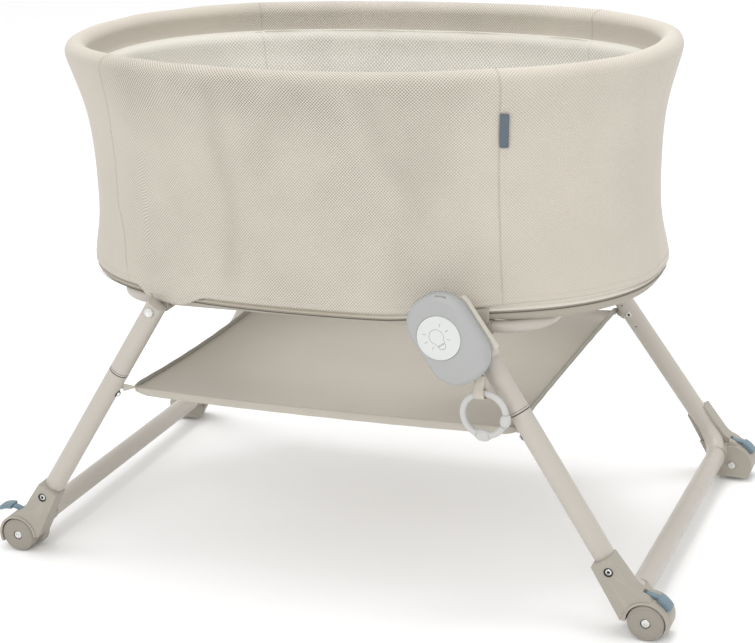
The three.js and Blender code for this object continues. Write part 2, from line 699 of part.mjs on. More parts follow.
const corners = [
  { name: 'left_front', signX: -1, signY: -1, raised: true },
  { name: 'right_front', signX: 1, signY: -1, raised: false },
  { name: 'left_rear', signX: -1, signY: 1, raised: false },
  { name: 'right_rear', signX: 1, signY: 1, raised: false },
];
const uprightTurn = THREE.MathUtils.degToRad(40);
for (const { name, signX, signY, raised } of corners) {
  const place = (piece, geometry, material) =>
    addPart(bassinet, `${name}_${piece}`, toCorner(geometry, signX, signY), material);
  place('upright', upright(uprightTurn), materials.frame);
  place('pivot_bracket', pivotBracket(), materials.plastic);
  place('pivot_bolt', pivotBolt(), materials.steel);
  place('upper_leg', upperLeg(), materials.frame);
  place('spring_button', springButton(), materials.steel);
  place('foot', footHousing(), materials.plastic);
  place('foot_screw', footScrew(), materials.steel);
  place('wheel', wheel(), materials.wheel);
  place('axle_bolt', axleBolt(), materials.steel);
  place('brake_lever', brakeLever(raised), materials.brake);
}
for (const [name, signX] of [['left', -1], ['right', 1]]) {
  addPart(bassinet, `${name}_lower_frame`, toCorner(lowerFrame(), signX, 1), materials.frame);
}

const pod = new THREE.Group();
pod.position.set(POD.x, POD.y, POD.z);
pod.rotation.y = -podTilt;
const buttonBack = -POD.depth / 2 + POD_BUTTON.thickness - POD_BUTTON.proud;
addPart(pod, 'pod_body', podBody(), materials.pod);
addPart(pod, 'pod_clip', podClip(), materials.plastic);
addPart(pod, 'pod_button', closedGeometry(
  podButton(POD_BUTTON.radius, buttonBack - POD_BUTTON.thickness, buttonBack),
), materials.white);
bassinet.add(pod);
addPart(bassinet, 'pod_strap', podStrap(), materials.strap);
addPart(bassinet, 'teether_ring', teetherRing(), materials.teether);

export default bassinet;
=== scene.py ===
import math
from contextlib import contextmanager

import bmesh
import bpy
import numpy as np
from mathutils import Matrix, Vector


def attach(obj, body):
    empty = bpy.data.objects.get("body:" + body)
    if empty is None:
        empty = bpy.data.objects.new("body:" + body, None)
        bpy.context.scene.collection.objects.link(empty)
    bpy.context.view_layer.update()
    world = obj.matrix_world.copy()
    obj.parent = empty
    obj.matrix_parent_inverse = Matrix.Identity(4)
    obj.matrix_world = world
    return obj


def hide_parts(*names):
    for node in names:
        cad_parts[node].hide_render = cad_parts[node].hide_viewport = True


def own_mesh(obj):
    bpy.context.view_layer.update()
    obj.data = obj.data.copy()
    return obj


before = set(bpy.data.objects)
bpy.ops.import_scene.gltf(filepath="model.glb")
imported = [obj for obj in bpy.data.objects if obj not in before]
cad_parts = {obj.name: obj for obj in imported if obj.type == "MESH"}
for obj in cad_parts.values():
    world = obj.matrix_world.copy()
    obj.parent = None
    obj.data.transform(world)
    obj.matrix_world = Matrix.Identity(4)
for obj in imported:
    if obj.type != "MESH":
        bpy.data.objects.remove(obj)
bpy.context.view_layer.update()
MM = 0.001
TAU = 2 * math.pi
CORNERS = {"left_front": (-1, -1), "right_front": (1, -1), "left_rear": (-1, 1), "right_rear": (1, 1)}

# ---------- dimensions shared with the CAD part, in metres ----------
RIM_A, RIM_B, RIM_Z, ROLL_R = 0.4384, 0.2626, 0.7077, 0.0145
OVAL_POWER = 2.4
WAIST, FLARE = (0.0296, 0.021), (0.011, 0.0134)
RING_A, RING_B, RING_CORNER, RING_R, RING_Z = 0.311, 0.209, 0.065, 0.0083, 0.383
TUBE_R, BEND_R = 0.0143, 0.045
PIVOT = np.array([0.234, 0.239, 0.3765])
LEG_END = np.array([0.447, 0.2693, 0.044])
SEAM_Z, LEG_TOP_Z = 0.283, 0.384
LEG_DOWN = (LEG_END - PIVOT) / np.linalg.norm(LEG_END - PIVOT)
INWARD = np.array([-abs(LEG_DOWN[2]), 0, -LEG_DOWN[0]])
INWARD /= np.linalg.norm(INWARD)
HUB = np.array([0.468, 0, 0.025 * math.cos(math.pi / 20)])
POD_PLACE = (0.213, -0.282, 0.388)
POD_TILT = math.atan2(LEG_DOWN[0], -LEG_DOWN[2])
TEETHER = np.array([0.254, -0.272, 0.285])


# ---------- small mesh kit ----------
def smoothstep(x, lo, hi):
    t = np.clip((np.asarray(x, float) - lo) / (hi - lo), 0, 1)
    return t * t * (3 - 2 * t)


def bell(x, centre, width):
    return np.exp(-(((np.asarray(x, float) - centre) / width) ** 2))


def unit(vectors):
    """The same directions with length 1, along the last axis."""
    vectors = np.asarray(vectors, float)
    return vectors / np.linalg.norm(vectors, axis=-1, keepdims=True)


def lengths_along(path):
    """Distance along a path to each of its points."""
    return np.concatenate([[0], np.cumsum(np.linalg.norm(np.diff(path, axis=0), axis=1))])


def linked(name, data):
    o = bpy.data.objects.new(name, data)
    bpy.context.scene.collection.objects.link(o)
    return o


def mesh_from(name, verts, faces):
    mesh = bpy.data.meshes.new(name)
    mesh.from_pydata([tuple(map(float, v)) for v in verts], [], [tuple(map(int, f)) for f in faces])
    return mesh


def set_smooth(mesh, smooth=True):
    mesh.polygons.foreach_set("use_smooth", [smooth] * len(mesh.polygons))


def write_uv(mesh, uv):
    """Gives each vertex its flat place on the cloth, in metres."""
    layer = mesh.uv_layers.new(name="flat")
    index = np.zeros(len(mesh.loops), np.int64)
    mesh.loops.foreach_get("vertex_index", index)
    layer.data.foreach_set("uv", np.asarray(uv, float)[index].ravel())


def make(name, verts, faces, material, body, smooth=True, uv=None):
    """A mesh object from vertices and faces, that rides on a body."""
    mesh = mesh_from(name, verts, faces)
    mesh.validate()
    if uv is not None:
        write_uv(mesh, uv)
    set_smooth(mesh, smooth)
    mesh.update()
    o = linked(name, mesh)
    mesh.materials.append(material)
    if body:
        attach(o, body)
    return o


def dress(o, material):
    o.data.materials.clear()
    o.data.materials.append(MAT[material])
    return o


def stands_for(o, node):
    """Hides the CAD node that a piece replaces, if any."""
    if node:
        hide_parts(node)
    return o


def grid_faces(rows, columns, close_u=True, close_v=False):
    """Quads of a grid whose vertex number is row * columns + column."""
    faces = []
    for i in range(rows if close_v else rows - 1):
        for k in range(columns if close_u else columns - 1):
            j, n = (i + 1) % rows, (k + 1) % columns
            faces.append((i * columns + k, i * columns + n, j * columns + n, j * columns + k))
    return faces


def grid(name, points, material, body, close_u=True, close_v=False, uv=None, flip=False):
    """A skin through points[row][column]."""
    points = np.asarray(points, float)
    faces = grid_faces(*points.shape[:2], close_u, close_v)
    if flip:
        faces = [f[::-1] for f in faces]
    flat_uv = None if uv is None else np.asarray(uv, float).reshape(-1, 2)
    return make(name, points.reshape(-1, 3), faces, material, body, uv=flat_uv)


def joined(name, parts, material, body):
    """One object from several (vertices, faces) pairs."""
    verts, faces = [], []
    for v, f in parts:
        base = len(verts)
        verts += [tuple(p) for p in v]
        faces += [tuple(i + base for i in face) for face in f]
    return make(name, verts, faces, material, body)


def frames_along(path, closed=False):
    """Side and up vectors along a path, carried along without twist."""
    if closed:
        tangents = np.roll(path, -1, 0) - np.roll(path, 1, 0)
    else:
        tangents = np.gradient(path, axis=0)
    tangents = unit(tangents)
    first = np.cross(tangents[0], [0.0, 0.0, 1.0])
    if np.linalg.norm(first) < 0.1:
        first = np.cross(tangents[0], [0.0, 1.0, 0.0])
    sides = [unit(first)]
    for t in tangents[1:]:
        sides.append(unit(sides[-1] - t * np.dot(sides[-1], t)))
    return np.array(sides), np.cross(tangents, sides)


def sweep(path, radius, sides=32, closed=False):
    """Vertices and faces of a round bar along a path; radius may differ at each point."""
    path = np.asarray(path, float)
    radius = np.broadcast_to(radius, len(path))
    side, up = frames_along(path, closed)
    turn = np.arange(sides) * TAU / sides
    ring = np.cos(turn)[None, :, None] * side[:, None] + np.sin(turn)[None, :, None] * up[:, None]
    points = path[:, None] + ring * radius[:, None, None]
    faces = grid_faces(len(path), sides, True, closed)
    if not closed:
        faces += end_caps(len(path), sides)
    return points.reshape(-1, 3), faces


def end_caps(rows, sides):
    return [tuple(range(sides))[::-1], tuple(range((rows - 1) * sides, rows * sides))]


def around(axis, sides):
    """The axis with length 1, the angles all the way round it, and a unit vector towards each."""
    axis = unit(axis)
    one = unit(np.cross(axis, [0.0, 0.0, 1.0] if abs(axis[2]) < 0.9 else [0.0, 1.0, 0.0]))
    turn = np.arange(sides) * TAU / sides
    return axis, turn, np.cos(turn)[:, None] * one + np.sin(turn)[:, None] * np.cross(axis, one)


def lathe(profile, origin, axis, sides=48):
    """Vertices and faces of a turned skin; profile points are (radius, distance along the axis)."""
    axis, _, ring = around(axis, sides)
    rows = [np.asarray(origin) + axis * d + ring * max(r, 1e-5) for r, d in profile]
    return np.concatenate(rows), grid_faces(len(rows), sides)


def rounded_corner(before, corner, after, radius, share, steps):
    """Points of a corner rounded off by at most a share of its shorter side."""
    a, b = before - corner, after - corner
    cut = min(radius, np.linalg.norm(a) * share, np.linalg.norm(b) * share)
    if cut <= 0:
        return [corner]
    a, b = unit(a) * cut, unit(b) * cut
    return [corner + a * (1 - t) ** 2 + b * t**2 for t in np.linspace(0, 1, steps + 1)]


def rounded_profile(points, radius, steps=4):
    """Rounds the corners of an open profile of (radius, distance) points."""
    points = [np.asarray(p, float) for p in points]
    out = [points[0]]
    for three in zip(points, points[1:], points[2:]):
        out += rounded_corner(*three, radius, 0.45, steps)
    return out + [points[-1]]


def rounded_outline(points, radius, steps=5):
    """A closed outline with its corners rounded; radius may be one number or one for each corner."""
    points = [np.asarray(p, float) for p in points]
    out = []
    for i, r in enumerate(np.broadcast_to(radius, len(points))):
        out += rounded_corner(points[i - 1], points[i], points[(i + 1) % len(points)], r, 0.48, steps)
    return [tuple(p) for p in out]


def rounded_plate(width, length, corner, count=20):
    """The outline of a plate with round corners, each in a number of steps."""
    w, l, points = width / 2 - corner, length / 2 - corner, []
    for sx, sy, start in ((1, 1, 0), (-1, 1, 90), (-1, -1, 180), (1, -1, 270)):
        for i in range(count + 1):
            a = math.radians(start + 90 * i / count)
            points.append((w * sx + corner * math.cos(a), l * sy + corner * math.sin(a)))
    return np.array(points)


def mirrored(points, sx, sy):
    return np.asarray(points, float) * np.array([sx, sy, 1.0])


@contextmanager
def edited(o):
    """The mesh of a piece, open for editing."""
    built = bmesh.new()
    built.from_mesh(o.data)
    yield built
    built.to_mesh(o.data)
    built.free()
    o.data.update()


def fix_normals(o):
    with edited(o) as mesh:
        bmesh.ops.remove_doubles(mesh, verts=mesh.verts, dist=2e-5)
        bmesh.ops.recalc_face_normals(mesh, faces=mesh.faces)
    return o


def smooth_by_angle(o, degrees=35):
    """Shades flat across edges sharper than the angle."""
    set_smooth(o.data)
    with edited(o) as mesh:
        for edge in mesh.edges:
            edge.smooth = len(edge.link_faces) != 2 or edge.calc_face_angle(0.0) < math.radians(degrees)
    return o


def baked(o):
    """Applies the modifiers of a piece."""
    view = bpy.context.evaluated_depsgraph_get()
    mesh = bpy.data.meshes.new_from_object(o.evaluated_get(view))
    o.modifiers.clear()
    o.data = mesh
    return o


def edges_rounded(o, width, segments, degrees, shading):
    m = o.modifiers.new("edge", "BEVEL")
    m.width, m.segments, m.limit_method = width, segments, "ANGLE"
    m.angle_limit = math.radians(degrees)
    m.harden_normals = False
    return smooth_by_angle(baked(o), shading)


def thickened(o, thickness, offset, material):
    """Cloth with its thickness; offset is 1 outwards, -1 inwards and 0 both ways."""
    m = o.modifiers.new("cloth", "SOLIDIFY")
    m.thickness, m.offset = thickness, offset
    return dress(baked(o), material)


def turned(name, profile, origin, axis, sides, material, body, node=None, sy=1):
    """A small turned piece; sy of -1 mirrors it to the front."""
    verts, faces = lathe(profile, origin, axis, sides)
    made = fix_normals(make(name, verts * [1, sy, 1], faces, MAT[material], body))
    return stands_for(made, node)


# ---------- materials ----------
def linear(r, g, b):
    """A shader colour from screen values of 0 to 255."""
    def one(c):
        c /= 255
        return c / 12.92 if c <= 0.04045 else ((c + 0.055) / 1.055) ** 2.4
    return (one(r), one(g), one(b), 1)


def tint(colour, factor):
    return tuple(min(c * factor, 1.0) for c in colour[:3]) + (1,)


class Material:
    """Builds one Principled material from nodes."""

    def __init__(self, name, **constants):
        self.material = bpy.data.materials.new(name)
        self.material.use_nodes = True
        self.tree = self.material.node_tree
        self.shader = self.tree.nodes["Principled BSDF"]
        for socket, value in constants.items():
            self.shader.inputs[socket.replace("_", " ")].default_value = value

    def node(self, kind, **inputs):
        made = self.tree.nodes.new("ShaderNode" + kind)
        for key, value in inputs.items():
            if key in ("attribute_name", "uv_map"):
                setattr(made, key, value)
            else:
                self.put(made.inputs[key], value)
        return made

    def put(self, socket, value):
        if isinstance(value, bpy.types.NodeSocket):
            self.tree.links.new(value, socket)
        else:
            socket.default_value = value

    def fill(self, made, values):
        for socket, value in zip(made.inputs, values):
            self.put(socket, value)
        return made.outputs[0]

    def math(self, operation, *values):
        made = self.node("Math")
        made.operation = operation
        return self.fill(made, values)

    def times(self, a, b):
        return self.math("MULTIPLY", a, b)

    def plus(self, a, b):
        return self.math("ADD", a, b)

    def minus(self, a, b):
        return self.math("SUBTRACT", a, b)

    def wave(self, value, period):
        return self.math("SINE", self.times(value, TAU / period))

    def distance(self, a, b):
        return self.math("SQRT", self.plus(self.times(a, a), self.times(b, b)))

    def spread(self, value, lo, hi, to_lo=0.0, to_hi=1.0):
        """Turns lo to hi into to_lo to to_hi, with soft ends."""
        made = self.node("MapRange")
        made.interpolation_type = "SMOOTHSTEP"
        return self.fill(made, (value, lo, hi, to_lo, to_hi))

    def mix(self, share, a, b):
        made = self.node("Mix")
        made.data_type = "RGBA"
        for socket, value in ((0, share), (6, a), (7, b)):
            self.put(made.inputs[socket], value)
        return made.outputs[2]

    def noise(self, scale, detail=2.0, rough=0.5):
        return self.node("TexNoise", Scale=scale, Detail=detail, Roughness=rough, Vector=self.place()).outputs[0]

    def place(self):
        if not hasattr(self, "_place"):
            self._place = self.node("TexCoord").outputs["Object"]
        return self._place

    def axes(self):
        return self.node("SeparateXYZ", Vector=self.place()).outputs

    def flat(self):
        """The two flat coordinates of a cloth, in metres."""
        if not hasattr(self, "_flat"):
            self._flat = self.node("SeparateXYZ", Vector=self.node("UVMap", uv_map="flat").outputs[0]).outputs[:2]
        return self._flat

    def attribute(self, name):
        return self.node("Attribute", attribute_name=name).outputs["Fac"]

    def finish(self, colour, height, strength, distance, rough=None):
        """Wires the colour, the bump and the roughness to the shader."""
        self.put(self.shader.inputs["Base Color"], colour)
        bump = self.node("Bump", Strength=strength, Distance=distance, Height=height)
        self.put(self.shader.inputs["Normal"], bump.outputs[0])
        if rough:
            self.put(self.shader.inputs["Roughness"], rough)
        return self.material

    def holes(self, pitch, radius, soft):
        """1 in the staggered round holes of a mesh cloth, 0 between them."""
        u, v = self.flat()
        rise = pitch * 0.5
        row = self.math("FLOOR", self.math("DIVIDE", v, rise))
        odd = self.math("MODULO", self.math("ABSOLUTE", row), 2.0)
        across = self.plus(self.math("DIVIDE", u, pitch), self.times(odd, 0.5))
        du = self.times(self.minus(self.math("FRACT", across), 0.5), pitch)
        dv = self.minus(v, self.times(self.plus(row, 0.5), rise))
        return self.spread(self.distance(du, dv), radius, radius + soft, 1.0, 0.0)


def spacer_mesh(name, light, dark, pitch, radius, hole_shade):
    """A knitted spacer mesh: rows of small staggered holes over a fine yarn, with painted shade in the holes and where
    the point attribute 'shade' is high.
    """
    m = Material(name, Roughness=0.92, Sheen_Weight=0.18, Sheen_Roughness=0.5, Specular_IOR_Level=0.2)
    strength = m.times(m.attribute("openness"), m.spread(m.noise(11.0), 0.3, 0.7, 0.75, 1.0))
    mask = m.times(m.holes(pitch, radius, pitch * 0.16), strength)
    yarn = m.noise(1400.0, 3.0, 0.6)
    tone = m.mix(m.spread(m.noise(26.0, 3.0), 0.3, 0.7, 0.0, 0.35), light, tint(light, 0.93))
    # painted shade: darker towards the dark tone where the point attribute 'shade' is high
    tone = m.mix(m.times(m.attribute("shade"), 0.5), tone, dark)
    # painted shade in the holes: the holes are real, their darker colour stands in for the shade inside them
    tone = m.mix(m.times(mask, hole_shade), tone, tint(dark, 0.5))
    return m.finish(m.mix(m.spread(yarn, 0.35, 0.65, 0.0, 0.12), tone, dark), m.minus(m.times(yarn, 0.25), mask),
                    0.55, 0.0009, m.spread(yarn, 0.3, 0.7, 0.86, 0.97))


def plain_weave(name, light, pitch, rough=0.85, contrast=0.12, flat=True):
    """A close plain weave of crossing threads."""
    m = Material(name, Roughness=rough, Sheen_Weight=0.12, Specular_IOR_Level=0.25)
    if flat:
        u, v = m.flat()
    else:
        u, y, z = m.axes()
        v = m.plus(y, z)
    weave = m.times(m.wave(u, pitch), m.wave(v, pitch))
    blotch = m.spread(m.noise(9.0, 3.0), 0.25, 0.75, 0.0, 0.5)
    tone = m.mix(blotch, light, tint(light, 0.94))
    return m.finish(m.mix(m.spread(weave, -1.0, 1.0, contrast, 0.0), tone, tint(light, 0.82)),
                    m.plus(weave, m.noise(700.0, 2.0)), 0.25, 0.0003,
                    m.spread(blotch, 0.0, 0.5, rough - 0.04, rough + 0.05))


def webbing(name, light, pitch=0.0016):
    """Narrow woven tape: short slanting ribs."""
    m = Material(name, Roughness=0.88, Sheen_Weight=0.15, Specular_IOR_Level=0.25)
    x, _, z = m.axes()
    ribs = m.wave(m.plus(z, m.times(x, 0.35)), pitch)
    weave = m.times(ribs, m.spread(m.wave(x, pitch * 1.3), -0.8, 0.8, 0.4, 1.0))
    return m.finish(m.mix(m.spread(weave, -1.0, 1.0, 0.45, 0.0), light, tint(light, 0.6)), weave, 0.6, 0.0004)


def moulded(name, light, rough=0.5, grain=1500.0, bump=0.12):
    """Moulded plastic with a fine grain, and sharp edges made paler as a painted highlight."""
    m = Material(name, Roughness=rough, Specular_IOR_Level=0.45)
    fine = m.noise(grain, 2.0, 0.6)
    # painted highlight: paler where the edges are sharp
    edge = m.spread(m.node("NewGeometry").outputs["Pointiness"], 0.52, 0.6, 0.0, 0.35)
    tone = m.mix(m.spread(m.noise(14.0, 3.0), 0.3, 0.7, 0.0, 0.45), light, tint(light, 0.93))
    tone = m.mix(m.spread(fine, 0.3, 0.7, 0.0, 0.06), tone, tint(light, 0.7))
    return m.finish(m.mix(edge, tone, tint(light, 1.16)), fine, bump, 0.0002,
                    m.spread(m.noise(60.0, 3.0), 0.3, 0.7, rough - 0.05, rough + 0.07))


def powder_coat(name, light):
    """Satin powder coat on steel tube: orange-peel texture under a soft gloss."""
    m = Material(name, Roughness=0.42, Coat_Weight=0.25, Coat_Roughness=0.28, Specular_IOR_Level=0.5)
    cloud = m.spread(m.noise(7.0, 3.0), 0.3, 0.7, 0.0, 0.4)
    return m.finish(m.mix(cloud, light, tint(light, 0.95)), m.noise(420.0, 2.0, 0.45), 0.06, 0.0003,
                    m.spread(m.noise(35.0, 4.0), 0.3, 0.7, 0.36, 0.5))


def plated(name, light=(0.72, 0.72, 0.70, 1), rough=0.24):
    """Zinc-plated steel with fine handling marks."""
    m = Material(name, Roughness=rough, Metallic=1.0)
    marks = m.noise(900.0, 4.0, 0.7)
    return m.finish(m.mix(m.spread(marks, 0.35, 0.7), light, tint(light, 0.78)), marks, 0.08, 0.0001,
                    m.spread(marks, 0.3, 0.7, rough - 0.06, rough + 0.14))


def two_tone_tape():
    """Tape in two tones: tan under the mesh on the left and in the middle, cream to the right."""
    m = Material("welt_tape", Roughness=0.78, Sheen_Weight=0.12, Specular_IOR_Level=0.25)
    u, v = m.flat()
    right = m.spread(m.axes()[0], 0.02, 0.22)
    weave = m.times(m.wave(u, 0.0012), m.wave(v, 0.0012))
    light = m.mix(right, linear(176, 168, 154), linear(210, 205, 194))
    dark = m.mix(right, linear(146, 138, 124), linear(178, 171, 156))
    return m.finish(m.mix(m.spread(weave, -1.0, 1.0, 0.2, 0.0), light, dark), weave, 0.25, 0.0003,
                    m.spread(m.noise(60.0), 0.3, 0.7, 0.72, 0.86))


def roller_plastic(light):
    """Turned rings on the face of a roller, which follow the distance from its hub."""
    m = Material("roller_plastic", Roughness=0.5, Specular_IOR_Level=0.45)
    x, _, z = m.axes()
    away = m.distance(m.minus(m.math("ABSOLUTE", x), float(HUB[0])), m.minus(z, float(HUB[2])))
    rings = m.wave(away, 0.00085)
    fine = m.noise(900.0, 3.0, 0.6)
    return m.finish(m.mix(m.spread(rings, -1.0, 1.0, 0.3, 0.0), light, tint(light, 0.8)),
                    m.plus(rings, m.times(fine, 0.4)), 0.25, 0.0002, m.spread(fine, 0.3, 0.7, 0.42, 0.6))


MAT = {
    "cover": spacer_mesh("cover_mesh", linear(206, 199, 187), linear(168, 161, 149), 0.0044, 0.00085, 0.66),
    "liner": spacer_mesh("liner_net", linear(238, 235, 227), linear(178, 174, 163), 0.0058, 0.0013, 0.62),
    "skirt": plain_weave("skirt_cloth", linear(168, 161, 149), 0.0009, 0.85, 0.1),
    "shelf": plain_weave("shelf_cloth", linear(188, 182, 172), 0.0008, 0.82, 0.08),
    "hem": plain_weave("shelf_binding", linear(180, 174, 163), 0.0012, 0.8, 0.16),
    "end_hem": plain_weave("shelf_end_binding", linear(150, 146, 136), 0.0012, 0.8, 0.16),
    "strap": webbing("strap_webbing", linear(198, 191, 178)),
    "mattress": plain_weave("mattress_knit", linear(222, 220, 213), 0.0011, 0.88, 0.07),
    "piping": plain_weave("piping_cloth", linear(206, 202, 192), 0.0011, 0.8, 0.1, flat=False),
    "stitch": moulded("stitch_thread", linear(182, 175, 161), 0.8, 2500.0, 0.3),
    "tag": plain_weave("tag_satin", linear(90, 102, 112), 0.0007, 0.5, 0.2, flat=False),
    "tube": powder_coat("frame_paint", linear(179, 173, 164)),
    "cream": moulded("clip_cream", linear(198, 193, 182), 0.45),
    # painted shadow: the dark band under the welt
    "gap": plain_weave("hem_shadow", linear(96, 90, 80), 0.0009, 0.9, 0.1),
    "plastic": moulded("housing_plastic", linear(159, 153, 142), 0.5),
    "tray": moulded("tray_plastic", linear(172, 165, 153), 0.6),
    "steel": plated("bright_steel"),
    "dark": moulded("shadow_black", linear(44, 42, 39), 0.7),
    "brake": moulded("brake_blue", linear(108, 129, 140), 0.42),
    "pod": moulded("pod_grey", linear(163, 164, 163), 0.46, 1800.0, 0.08),
    "white": moulded("pod_white", linear(203, 205, 203), 0.4, 1800.0, 0.05),
    "mark": moulded("button_line", linear(128, 132, 133), 0.5),
    "teether": moulded("teether_silicone", linear(188, 187, 184), 0.5, 1200.0, 0.06),
    "welt": two_tone_tape(),
    "wheel": roller_plastic(linear(148, 142, 132)),
}


# ---------- basket fabric ----------
SEAM_TURNS = {"front_right": 304.9, "front_left": 228.0, "rear_left": 124.3, "rear_right": 52.8}
BESIDE_SEAM = np.array([-3.2, -2.0, -1.3, -0.7, 0, 0.7, 1.3, 2.0, 3.2]) * MM
FINE_COLUMNS, EVEN_COLUMNS = 20000, 600
UPWARDS = np.array([0, 0, 1.0])


def powered(value):
    return np.sign(value) * np.abs(value) ** (2 / OVAL_POWER)


def even_turns(a, b, count, samples):
    """Parameters of a superellipse at equal distances round it, and its length."""
    t = np.linspace(0, TAU, samples)
    x, y = a * powered(np.cos(t)), b * powered(np.sin(t))
    s = np.concatenate([[0], np.cumsum(np.hypot(np.diff(x), np.diff(y)))])
    return np.interp(np.arange(count) * s[-1] / count, s, t), s[-1]


def columns():
    """Even columns round the rim, with finer ones beside the upright seams."""
    fine, length = even_turns(RIM_A, RIM_B, FINE_COLUMNS, 2 * FINE_COLUMNS + 1)
    along = np.arange(EVEN_COLUMNS) * length / EVEN_COLUMNS
    for turn in SEAM_TURNS.values():
        seam = np.argmin(abs(np.degrees(fine) - turn)) * length / FINE_COLUMNS
        along = np.concatenate([along[abs(along - seam) > 0.0040], seam + BESIDE_SEAM])
    along = np.sort(along)
    return np.interp(along, np.arange(FINE_COLUMNS) * length / FINE_COLUMNS, fine), length, along


TURNS, RIM_LENGTH, ALONG = columns()
U_STEPS = len(TURNS)
OVAL_X, OVAL_Y = powered(np.cos(TURNS)), powered(np.sin(TURNS))
FRONT_SIDE = smoothstep(-OVAL_Y, -0.05, 0.05)
PLAN_X = RIM_A * OVAL_X
LOW_X = PLAN_X * 0.955
SEAM_COLUMN = {k: int(np.argmin(abs(np.degrees(TURNS) - v))) for k, v in SEAM_TURNS.items()}


def wall_inset(z, side):
    below = np.maximum(RIM_Z - z, 0) / 0.070
    return WAIST[side] * (1 - np.exp(-(below**1.5))) - FLARE[side] * bell(z, 0.405, 0.050)


def ring(inset_x, inset_y, z):
    """One round of points; the insets and z may differ at each column."""
    z = np.broadcast_to(z, U_STEPS)
    return np.stack([(RIM_A - inset_x) * OVAL_X, (RIM_B - inset_y) * OVAL_Y, z], -1)


def wall(z, behind, level=None):
    """A round behind the wall, whose shape is taken at its own height or at another level."""
    level = z if level is None else level
    return ring(wall_inset(level, 0) + behind, wall_inset(level, 1) + behind, z)


def seam_distance():
    """Distance along the rim from each column to the nearest upright seam."""
    gaps = [np.abs(ALONG - ALONG[c]) for c in SEAM_COLUMN.values()]
    return np.min([np.minimum(g, RIM_LENGTH - g) for g in gaps], 0)


SEAM_GAP = seam_distance()


def soft_noise(u, v, seed, scale):
    """Smooth value noise over two flat coordinates, from -1 to 1, periodic round the rim."""
    count = max(4, int(round(RIM_LENGTH / scale)))
    table = np.random.default_rng(seed).uniform(-1, 1, (64, count))
    a, b = np.mod(u / RIM_LENGTH * count, count), v / scale + 16
    i, j = np.floor(a).astype(int), np.floor(b).astype(int)
    fu, fv = smoothstep(a - i, 0, 1), smoothstep(b - j, 0, 1)
    low, high = (table[row % 64, i % count] * (1 - fu) + table[row % 64, (i + 1) % count] * fu for row in (j, j + 1))
    return low * (1 - fv) + high * fv


def hem_height(x):
    """Lower edge of the cover, which hangs over the left legs' brackets and rises to the right."""
    rise = (0.0145 * smoothstep(x, 0.10, 0.30) + 0.004 * smoothstep(-x, 0.30, 0.42)
            - 0.005 * smoothstep(x, 0.39, 0.42))
    flap = 0.0175 * smoothstep(x, -0.270, -0.250) * (1 - smoothstep(x, -0.200, -0.145))
    return 0.4022 + rise - flap


HEM = hem_height(LOW_X)
WELT_BOTTOM = 0.3932 + 0.0120 * smoothstep(LOW_X, 0.10, 0.26)
BESIDE_LEG = smoothstep(np.abs(PLAN_X), 0.165, 0.19) * (1 - smoothstep(np.abs(PLAN_X), 0.27, 0.295))


def push(points, distance):
    """Moves a closed-round grid of points along its own surface normal."""
    du = np.roll(points, -1, 1) - np.roll(points, 1, 1)
    normal = np.cross(du, np.gradient(points, axis=0))
    normal /= np.maximum(np.linalg.norm(normal, axis=2)[..., None], 1e-12)
    return points + normal * distance[..., None]


def sagged(points, v):
    """The rim roll hangs a little between its ends on the front side."""
    fall = 0.0045 * bell(PLAN_X, 0.02, 0.22) * FRONT_SIDE * smoothstep(v, -0.12, -0.01)
    return points - fall[..., None] * UPWARDS


# how far each front seam strays along the rim at the rim, on the wall and at the hem
SEAM_DRIFT = {"front_left": (0.018, -0.022, 0.014), "front_right": (-0.006, 0.002, 0.0)}


def drifted(points, v):
    """Slides the columns round the basket near the front seams, so that they run as the seams are sewn."""
    three_rounds = np.concatenate([ALONG - RIM_LENGTH, ALONG, ALONG + RIM_LENGTH])
    shift = 0
    for label, (top, middle, bottom) in SEAM_DRIFT.items():
        move = np.interp(v, [-0.305, -0.20, -0.10, -0.02, 0.02], [bottom, middle, middle * 0.6, top * 0.6, top])
        shift = shift + move * bell(ALONG - ALONG[SEAM_COLUMN[label]], 0.0, 0.060)
    moved = np.empty_like(points)
    for row, at in enumerate(ALONG + shift):
        for axis in range(3):
            moved[row, :, axis] = np.interp(at, three_rounds, np.tile(points[row, :, axis], 3))
    return moved


WALL_STEPS, ROLL_STEPS = 74, 18
LIP_DROPS = (0.004, 0.009, 0.014, 0.019, 0.0235, 0.0265, 0.0277)


def cover_rows():
    """Rounds from the hem over the rim roll and down inside it, and their place on the flat cloth."""
    rows, flat_v = [], []
    for i in range(WALL_STEPS + 1):
        z = HEM + (RIM_Z - HEM) * i / WALL_STEPS
        rows.append(wall(z, -0.0004))
        flat_v.append(z - RIM_Z)
    for i in range(1, ROLL_STEPS + 1):
        a = math.pi * i / ROLL_STEPS
        inset = ROLL_R * (1 - math.cos(a))
        rows.append(ring(inset, inset, RIM_Z + ROLL_R * math.sin(a)))
        flat_v.append(np.full(U_STEPS, ROLL_R * a))
    for drop in LIP_DROPS:
        inset = (2 * ROLL_R - 0.0012 * math.sin(math.pi * drop / LIP_DROPS[-1])
                 + 0.0022 * smoothstep(drop, 0.024, LIP_DROPS[-1]))
        rows.append(ring(inset, inset, RIM_Z - drop))
        flat_v.append(np.full(U_STEPS, ROLL_R * math.pi + drop))
    return np.array(rows), np.array(flat_v)


